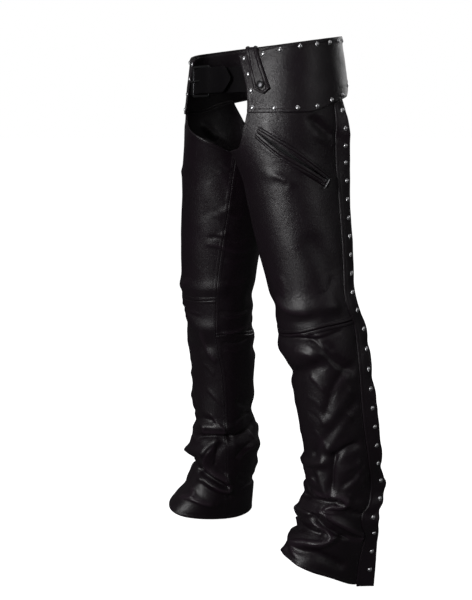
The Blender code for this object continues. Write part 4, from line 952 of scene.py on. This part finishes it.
def panel_turns(side, front, across, lower, upper, up):
    """Turn and height of points of a panel, from their fractions across and up."""
    height = np.full(across.shape, 0.5)
    for _ in range(8):
        inseam, outseam = seam_turns(side, height)
        if front:
            turn = inseam - LAP + across * (outseam - inseam + 2 * LAP)
        else:
            turn = outseam - LAP + across * (inseam + 360 - outseam + 2 * LAP)
        low, high = lower(side, turn), upper(side, turn)
        height = low + up * (high - low)
    return turn, height, low, high


def lay_panel(word, side, cut):
    """One leather panel of a leg."""
    def place(a, b):
        turn, height, low, high = panel_turns(side, cut.front, a, cut.lower, cut.upper, b)
        from_inseam = (a if cut.front else 1 - a) * cut.width
        from_outseam = (1 - a if cut.front else a) * cut.width
        from_end = np.minimum(height - low, high - height)
        at_knee = high - height if cut.upper in (front_knee, back_knee) else height - low
        knee_fold = 1.9 if cut.front and side > 0 else 1.1
        at_end = np.where(at_knee < 0.02, rolled(from_end, knee_fold), rolled(from_end))
        out = rolled(from_inseam, 0.6) + at_end
        # The second mark makes fold ridges smoother and paints them lighter, a painted highlight.
        marks = {"edge": np.minimum(np.minimum(from_inseam, from_outseam), from_end),
                 "polish": polish(side, turn, height)}
        return leg(side, turn, height, out), marks

    columns, rows = crowded(cut.width, cut.columns), crowded(cut.length, cut.rows, cut.busy)
    return lay(f"{word}_{cut.name}_leather", columns, rows, place, WALL, LEATHER, side < 0)


for word, side in SIDES.items():
    for cut in CUTS:
        made = dress(lay_panel(word, side, cut), [f"{word}_{cut.name}"])

# %% [markdown]
# ## Yoke and flaps
# The yoke is the belt of leather that everything hangs from. It lies on top of the
# panels, so it is moved out by a panel's thickness. Each flap is a stiff strip over the
# side zip, sewn along its front edge, while its free edge stands off the leg.

# %% Lay the yoke
YOKE_OUT = 0.0026
YOKE_BACK = 180.06
YOKE_LONG, YOKE_DEEP = 0.40, 0.10


def yoke_front(height):
    """Turn of the yoke's slanted front edge at a height."""
    return np.interp(height, YOKE_FRONT[:, 1], YOKE_FRONT[:, 0])


def yoke_waves(side, turn, height):
    """The slight waviness of the yoke, fading out at its stiff stitched edges."""
    low, high = straight(YOKE, turn, 1), straight(YOKE, turn, 2)
    free = ease(np.minimum(height - low, high - height) / 0.025)
    angle = np.radians(turn) + (0.0 if side > 0 else 0.8)
    return free * sum(0.8 * w.size * np.sin(2 * w.round_count * angle + 9 * w.rise_count * height + w.phase)
                      for w in WAVES)


def yoke_points(a, b):
    """Turn and height of points of the yoke, from their fractions round and up."""
    turn = 45 + a * 134.95
    for _ in range(6):
        low, high = straight(YOKE, turn, 1), straight(YOKE, turn, 2)
        height = low + b * (high - low)
        turn = yoke_front(height) + a * (YOKE_BACK - yoke_front(height))
    return turn, height, low, high


def lay_yoke(word, side):
    """Half of the yoke."""
    def place(a, b):
        turn, height, low, high = yoke_points(a, b)
        from_side = np.minimum(a, 1 - a) * YOKE_LONG
        from_end = np.minimum(height - low, high - height)
        out = YOKE_OUT + 0.6 * (rolled(from_side) + rolled(from_end)) + yoke_waves(side, turn, height)
        return hip(side, turn, height, out), {"edge": np.minimum(from_side, from_end)}

    columns, rows = crowded(YOKE_LONG, 190), crowded(YOKE_DEEP, 48)
    return lay(f"yoke_{word}_leather", columns, rows, place, 0.0020, LEATHER, side < 0)


for word, side in SIDES.items():
    made = dress(lay_yoke(word, side), [f"yoke_{word}"])

# %% Lay the flaps
FLAP_OUT = 0.0035
FLAP_CUTS = (0.0, 0.010, 0.020, FLAP_WIDTH)


def flap_point(side, across, height, out):
    """A point of the flap: across metres back from the outseam, standing off to its free edge."""
    _, seam = seam_turns(side, height)
    radius = read(LEGS, height)[..., 4] + 0.006 + 0.045 * ease((height - 0.80) / 0.135)
    turn = seam + np.degrees(across / radius)
    stand = straight(STANDS, height, 1) * np.clip(across / FLAP_WIDTH, 0, 1) ** 1.5
    return leg(side, turn, height, out + stand)


def flap_top(side, across):
    """Height of the flap's top end, cut along the yoke's lower edge."""
    height = 0.955
    for _ in range(4):
        point = flap_point(side, np.array(across), np.array(height), 0.0)
        height = float(straight(YOKE, math.degrees(math.atan2(side * point[0], -point[1])), 1)) - 0.0008
    return height


def lay_flap(word, side):
    """The studded strip over one outseam."""
    tops = [flap_top(side, x) for x in FLAP_CUTS]

    def place(a, b):
        across = a * FLAP_WIDTH
        high = np.interp(across, FLAP_CUTS, tops)
        height = FLAP_BOTTOM + b * (high - FLAP_BOTTOM)
        edge = np.minimum(across, FLAP_WIDTH - across)
        corner = np.sqrt(1 - (1 - np.clip(across / 0.0020, 0, 1)) ** 2)
        round_over = 0.5 * corner + 0.5 * ease(across / 0.012)
        turned = 0.0006 * (1 - ease((edge - 0.0040) / 0.0012)) - 0.0007 * np.exp(-((edge / 0.0007) ** 2))
        return flap_point(side, across, height, FLAP_OUT * round_over + turned), {"edge": edge}

    columns, rows = crowded(FLAP_WIDTH, 24), crowded(0.96, 420)
    return lay(f"{word}_flap_leather", columns, rows, place, 0.0026, LEATHER, side < 0)


for word, side in SIDES.items():
    made = dress(lay_flap(word, side), [f"{word}_flap"])

# %% [markdown]
# ## Studs
# Each stud is a domed cap with a narrow flat rim, pressed into the leather. One cap is
# a sphere, flattened, cut in half and given a rim; the same shape is then set down at
# every place, turned so that it points straight out.

# %% Make one stud
STUD_RADIUS, STUD_RISE = 0.0042, 0.0026
RIM = 1.10
STUD_FOOT = 0.0008


def stud_body():
    """One cap, sitting on the plane z = 0."""
    cap = bmesh.new()
    bmesh.ops.create_uvsphere(cap, u_segments=20, v_segments=12, radius=1.0)
    bmesh.ops.bisect_plane(cap, geom=cap.verts[:] + cap.edges[:] + cap.faces[:], plane_co=(0, 0, 0),
                           plane_no=(0, 0, -1), clear_outer=True)
    bmesh.ops.scale(cap, verts=cap.verts, vec=(STUD_RADIUS, STUD_RADIUS, STUD_RISE))

    def skirt():
        rim = [e for e in cap.edges if e.is_boundary]
        grown = bmesh.ops.extrude_edge_only(cap, edges=rim)["geom"]
        return [v for v in grown if isinstance(v, bmesh.types.BMVert)]

    bmesh.ops.scale(cap, verts=skirt(), vec=(RIM, RIM, 1.0))
    bmesh.ops.translate(cap, verts=skirt(), vec=(0, 0, -STUD_FOOT))
    bmesh.ops.holes_fill(cap, edges=[e for e in cap.edges if e.is_boundary])
    bmesh.ops.recalc_face_normals(cap, faces=cap.faces)
    mesh = bpy.data.meshes.new("one_stud")
    cap.to_mesh(mesh)
    cap.free()
    return mesh


one_stud = stud_body()
print("one stud has", len(one_stud.polygons), "faces")

# %% Set the studs
STUD_IN = 0.0080


def standing(at, out, along):
    """The transform that stands a shape at a point, its z axis out and its x axis along."""
    z = Vector(out).normalized()
    y = z.cross(Vector(along)).normalized()
    x = y.cross(z)
    return Matrix.Translation(at) @ Matrix((x, y, z)).transposed().to_4x4()


def set_down(name, shape, places, look):
    """Copies of one shape, set down at many places."""
    body = bmesh.new()
    for place in places:
        before = len(body.verts)
        body.from_mesh(shape)
        body.verts.ensure_lookup_table()
        bmesh.ops.transform(body, matrix=place, verts=body.verts[before:])
    made = keep(name, body, look)
    print(name, "has", len(places), "copies")
    return made


def frames_on(surface, first, second, beside, above):
    """A standing transform at each point of a surface, from small steps beside and above it."""
    made = []
    corners = surface(first, second), surface(first + beside, second), surface(first, second + above)
    for p, q, r in zip(*corners):
        made.append(standing(p, Vector(q - p).cross(Vector(r - p)), q - p))
    return made


for word, side in SIDES.items():
    on_yoke = frames_on(partial(hip, side, out=YOKE_OUT), *YOKE_STUDS.T, side * 0.5, 0.002)
    dress(set_down(f"yoke_{word}_studs", one_stud, on_yoke, CHROME), [])
    heights = straight(STUD_ROWS, np.arange(FLAP_STUDS), 1)
    across = np.full(FLAP_STUDS, FLAP_WIDTH - STUD_IN)
    on_flap = frames_on(partial(flap_point, side, out=FLAP_OUT), across, heights, side * 0.001, 0.002)
    dress(set_down(f"{word}_flap_studs", one_stud, on_flap, CHROME), [])

# %% [markdown]
# ## Belt
# A plain strip of thick, matt leather. It is laid the same way as the garment, but its
# line leaves the hips where it folds round the buckle's bar or lies over the other end.

# %% Where the belt runs
BAR_TURN = -6.0
BELT = 0.0235
STRAP_THICK = 0.0030
BAR_OUT = -0.0020
LOOP = 0.0046
LEAN = 0.12

trial = np.linspace(-120, 120, 961)
lengths = gone_along(hip_skin(1, trial, 1.0))
lengths -= np.interp(BAR_TURN, trial, lengths)


def on_belt(along, up, out):
    """A point along the belt, up from its centre line and out from the hips' form."""
    turn = np.interp(along, lengths, trial)
    in_front = ease((turn + 62) / 16) * (1 - ease((turn - 12) / 18))
    return hip(1, turn, 1.0 + np.asarray(up), out + LEAN * in_front * (np.asarray(up) - BELT))


def bar_loop(start, end, count):
    """Points round the buckle's bar, between two angles up from straight along."""
    angles = np.radians(np.linspace(start, end, count))
    return [(LOOP * math.cos(a), BAR_OUT + LOOP * math.sin(a)) for a in angles]


under_yoke = float(np.interp(57, trial, lengths))
under_right = float(np.interp(-57, trial, lengths))
left_path = [(under_yoke - k * (under_yoke - 0.030) / 9, -0.0019) for k in range(10)]
left_path += [(0.021, -0.0014), (0.012, 0.0003)] + bar_loop(62, 298, 9)
left_path += [(0.012, -0.0060), (0.021, -0.0053), (0.031, -0.0052)]
right_path = [(under_right + k * (-0.080 - under_right) / 5, -0.0019) for k in range(6)]
right_path += [(-0.068, -0.0015), (-0.060, -0.0013), (-0.050, -0.0005), (-0.040, 0.0010), (-0.030, 0.0026),
               (-0.020, 0.0043), (-0.012, 0.0056), (0.000, 0.0064), (0.010, 0.0054), (0.018, 0.0035),
               (0.026, 0.0023), (0.036, 0.0020), (0.048, 0.0020), (0.060, 0.0020), (0.070, 0.0020),
               (0.080, 0.0020)]
print("the straps run", round(under_yoke, 3), "and", round(-under_right, 3), "m from the bar")

# %% Lay the straps


def dense(path, count):
    """A path of (along, out) points, run through smoothly with even steps."""
    gone = gone_along(path)
    return read(np.column_stack([gone, path]), np.linspace(0, gone[-1], count))


def lay_strap(name, path, half_width, thickness, point, look, count, columns=14, swell=None):
    """A strip bent along a path; half_width(f) gives half its breadth at a fraction."""
    line = dense(path, count)
    way = np.gradient(line, axis=0)
    way /= np.linalg.norm(way, axis=1, keepdims=True)

    def place(a, b):
        here, turn = spots(b, even(count), line), spots(b, even(count), way)
        half = half_width(b)
        across = (2 * a - 1) * half
        edge = half - np.abs(across)
        lift = 0.5 * thickness + (swell(edge) if swell else 0.0)
        moved = here + np.column_stack([-turn[:, 1], turn[:, 0]]) * np.reshape(lift, (-1, 1))
        return point(moved[:, 0], across, moved[:, 1]), {}

    piece = lay(name, even(columns), even(count), place, thickness, look, False)
    soft = piece.modifiers.new("soft_edge", "BEVEL")
    soft.width = 0.0006
    soft.segments = 2
    return piece


def tongue(b):
    """Half the breadth of the pointed strap."""
    return np.interp(b, (0.0, 0.905, 0.952, 0.996, 1.0), (BELT, BELT, 0.66 * BELT, 0.004, 0.003))


def plain(b):
    return np.full(np.shape(b), BELT)


strap_left = lay_strap("belt_strap_left_leather", left_path, plain, STRAP_THICK, on_belt, BELTING, 150)
strap_right = lay_strap("belt_strap_right_leather", right_path, tongue, STRAP_THICK, on_belt, BELTING, 190)
dress(strap_left, ["belt_strap_left"])
dress(strap_right, ["belt_strap_right"])

# %% [markdown]
# ## Metal fittings
# The buckle, prong, snap, slider and pull already have the right shape as solids. A copy
# is cleaned of its doubled points, and a Bevel modifier rounds the edges, because a
# sharp edge catches no light and looks like a drawing.

# %% Round off the solids


def rounded(node, width, look, segments=2):
    """A copy of a solid with its edges rounded."""
    body = bmesh.new()
    body.from_mesh(nodes[node].data)
    bmesh.ops.remove_doubles(body, verts=body.verts, dist=0.00002)
    bmesh.ops.dissolve_limit(body, angle_limit=math.radians(2), verts=body.verts, edges=body.edges)
    made = keep(f"{node}_metal", body, look)
    soft = made.modifiers.new("soft_edge", "BEVEL")
    soft.width = width
    soft.segments = segments
    soft.limit_method = "ANGLE"
    print(made.name, "faces", len(made.data.polygons))
    return made


dress(rounded("buckle_frame", 0.0007, GUNMETAL, 3), ["buckle_frame"])
dress(rounded("buckle_prong", 0.0005, GUNMETAL), ["buckle_prong"])
dress(rounded("tab_snap", 0.0003, GUNMETAL), ["tab_snap"])
dress(rounded("zip_slider", 0.0003, GUNMETAL), ["zip_slider"])
dress(rounded("zip_pull", 0.0002, CHROME), ["zip_pull"], "pull")

# %% [markdown]
# ## Loop tab
# A narrow strip folded over the yoke's top edge and snapped down. It is built up from
# two layers, which leaves a raised border and a raised middle with a groove between.

# %% Lay the tab
TAB_TOP, TAB_TIP, TAB_CORNER = 1.0560, 0.9715, 0.9810
TAB_THICK = 0.0028
tab_out, tab_in = 0.0044, -0.0020
bend = 0.5 * (tab_out - tab_in)
bend_height = TAB_TOP - 0.5 * TAB_THICK - bend
arc = [(bend_height + bend * math.sin(a), tab_in + bend - bend * math.cos(a))
       for a in np.radians(np.linspace(0, 180, 6))]
tab_path = [(1.026, tab_in), (1.038, tab_in)] + arc
tab_path += [(h, tab_out) for h in (1.038, 1.026, 1.014, 1.002, 0.991, TAB_CORNER, 0.9765, TAB_TIP)]


def on_tab(height, across, out):
    """A point of the tab; across is degrees either side of its slanting middle."""
    middle = 48.0 + 7.9 * (TAB_TOP - height) / (TAB_TOP - TAB_CORNER)
    return hip(1, middle + across, height, out)


def tab_half(b):
    """Half the tab's breadth, in degrees, at a fraction of its path."""
    height = np.interp(b, even(120), dense(tab_path, 120)[:, 0])
    outside = b > 0.42
    width = np.interp(height, (TAB_TIP, 0.9765, TAB_CORNER, TAB_TOP), (0.5, 3.2, 5.4, 4.5))
    return np.where(outside, width, np.minimum(width, 4.6))


def tab_swell(edge):
    """Raised border, groove and raised middle; edge is in degrees from the side."""
    groove = np.exp(-(((edge - 1.55) / 0.42) ** 2))
    middle = ease((edge - 1.7) / 1.6)
    return 0.0006 * middle - 0.0014 * groove - 0.0008 * np.exp(-((edge / 0.30) ** 2))


tab = lay_strap("loop_tab_leather", tab_path, tab_half, TAB_THICK, on_tab, LEATHER, 130, 50, tab_swell)
dress(tab, ["loop_tab"])

# %% [markdown]
# ## Slant pocket
# Two welts, which are folded strips like flat lips, with a zip between them. They lie
# on the thigh, so they follow its form and folds. The zip's teeth are small blocks set
# along the middle.

# %% Where the pocket runs
Point = namedtuple("Point", "turn height")
POCKET_START, POCKET_END = Point(20.7, 0.9036), Point(97.0, 0.8125)
POCKET_REACH = 0.112
# part of the pocket's length, half its opening, width of each welt
WELTS = table((1, MM, MM), [
    (0, 0.6, 9.8), (0.15, 2.8, 10.4), (0.3, 4.2, 10.8), (0.5, 3.6, 11.4), (0.7, 2.4, 11.4),
    (0.9, 1.3, 11.2), (1, 0.8, 11),
])
run = np.array([math.radians(POCKET_END.turn - POCKET_START.turn) * POCKET_REACH,
                POCKET_END.height - POCKET_START.height])
POCKET_LENGTH = float(np.linalg.norm(run))
along_way = run / POCKET_LENGTH
across_way = np.array([-along_way[1], along_way[0]])


def on_pocket(along, across, out):
    """A point of the pocket, along it and up across it, in metres."""
    along, across = np.asarray(along, float), np.asarray(across, float)
    sag = -0.0040 * np.sin(math.pi * np.clip(along / POCKET_LENGTH, 0, 1))
    flat_x = along * along_way[0] + (across + sag) * across_way[0]
    flat_y = along * along_way[1] + (across + sag) * across_way[1]
    return leg(1, POCKET_START.turn + np.degrees(flat_x / POCKET_REACH), POCKET_START.height + flat_y, out)


def mouth(part):
    """Half the pocket's opening at a fraction of its length."""
    return read(WELTS, part)[..., 0]


print("the pocket is", round(POCKET_LENGTH, 3), "m long")

# %% Lay the welts and the tape
for word, sign in (("upper", 1), ("lower", -1)):
    def place(a, b):
        across = sign * (mouth(b) + read(WELTS, b)[..., 1] * a)
        swell = np.sqrt(np.clip(1 - (2 * a - 0.75) ** 2 / 1.7, 0, 1))
        out = 0.0010 + 0.0028 * swell - 0.0018 * np.exp(-(((a - 0.55) / 0.10) ** 2))
        return on_pocket(b * POCKET_LENGTH, across, out), {"edge": np.minimum(a, 1 - a) * 0.011}

    made = lay(f"pocket_welt_{word}_leather", even(34), even(130), place, 0.0012, LEATHER, sign < 0)
    dress(made, [f"pocket_welt_{word}"])


def place_tape(a, b):
    part = 0.06 + b * 0.88
    across = (2 * a - 1) * (mouth(part) + 0.0004)
    return on_pocket(part * POCKET_LENGTH, across, 0.0006 + 0 * a), {}


tape = lay("pocket_zip_tape", even(8), even(100), place_tape, 0.0006, TAPE, False)
dress(tape, ["pocket_zip"])

tooth = bmesh.new()
bmesh.ops.create_cube(tooth, size=1.0, matrix=Matrix.Diagonal((0.0009, 0.0022, 0.0010, 1)))
tooth_mesh = bpy.data.meshes.new("tooth")
tooth.to_mesh(tooth_mesh)
tooth.free()
steps_along = np.arange(0.07, 0.955, 0.0016 / POCKET_LENGTH)
zigzag = 0.0007 * (-1.0) ** np.arange(len(steps_along))
teeth = frames_on(partial(on_pocket, out=0.0010), steps_along * POCKET_LENGTH, zigzag, 0.001, 0.001)
dress(set_down("pocket_zip_teeth", tooth_mesh, teeth, ZIP_METAL), [])

# %% [markdown]
# ## Thread
# Seams are sewn, and most are topstitched a few millimetres from the edge. One stitch
# is a small ball, stretched and half sunk in the leather. Rows of them follow the same
# lines as the seams.

# %% Rows of stitches
PITCH = 0.0036
STITCH = (0.0013, 0.00036, 0.00036)
STITCH_IN = 0.0035
THREAD_OUT = 0.0002


def sewn(name, lines):
    """Rows of stitches along lines of points."""
    body = bmesh.new()
    count = 0
    for line in lines:
        gone = gone_along(line)
        places = np.arange(0.5 * PITCH, gone[-1], PITCH)
        for p, q in zip(spots(places, gone, line), spots(places + 0.001, gone, line)):
            way = Vector(q - p)
            if way.length < 1e-6:
                continue
            lie_down = way.to_track_quat("X", "Z").to_matrix().to_4x4()
            shape = Matrix.Translation(p) @ lie_down @ Matrix.Diagonal((*STITCH, 1))
            bmesh.ops.create_icosphere(body, subdivisions=1, radius=1.0, matrix=shape)
            count += 1
    dress(keep(name, body, THREAD), [])
    print(name, "stitches", count)


def along_seam(side, which, low, high):
    """A line on the front panels beside the inseam, which is 0, or the outseam, which is 1."""
    height = np.linspace(low, high, 400)
    turn = seam_turns(side, height)[which] + (1 - 2 * which) * math.degrees(STITCH_IN / LEG_RADIUS)
    return leg(side, turn, height, THREAD_OUT)


def along_edge(side, edge, shift, low, high):
    """A line beside a cross seam or an open edge, from one turn to another."""
    turn = np.linspace(low, high, 300)
    return leg(side, turn, edge(side, turn) + shift, THREAD_OUT)


for word, side in SIDES.items():
    rows = [
        along_seam(side, 0, 0.03, 0.515),
        along_seam(side, 0, 0.53, 0.855),
        along_seam(side, 1, 0.01, 0.545),
        along_seam(side, 1, 0.56, 0.93),
        along_edge(side, front_knee, STITCH_IN, -55, 101),
        along_edge(side, front_knee, 0.0075, -55, 101),
        along_edge(side, back_knee, STITCH_IN, 106, 303),
        along_edge(side, hem, 0.009, -66, 92),
        along_edge(side, hem, 0.009, 96, 292),
    ]
    sewn(f"{word}_leg_thread", rows)


def round_yoke(side, edge):
    """A line inside one edge of the yoke."""
    if edge == "front":
        height = np.linspace(0.9385 + STITCH_IN, 1.0415 - STITCH_IN, 60)
        turn = yoke_front(height) + math.degrees(STITCH_IN / 0.15)
    else:
        turn = np.linspace(47.5, 179.5, 500)
        low, high = straight(YOKE, turn, 1) + STITCH_IN, straight(YOKE, turn, 2) - STITCH_IN
        height = low if edge == "bottom" else high
    return hip(side, turn, height, YOKE_OUT + THREAD_OUT)


for word, side in SIDES.items():
    sewn(f"yoke_{word}_thread", [round_yoke(side, edge) for edge in ("front", "top", "bottom")])

# %% [markdown]
# ## Last step
# Both boxes are compared, and the last cell prints how far the visual model's box
# reaches past the solids' box, in millimetres. The visual model has to stay inside the
# solids' box, give or take a few millimetres.

# %% Sizes
made_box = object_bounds()
grown = [round(1000 * (made_box[k][i] - cad_box[k][i]), 1) for k in (0, 1) for i in range(3)]
print("pieces:", len(dressed), "box moved by", grown, "mm")
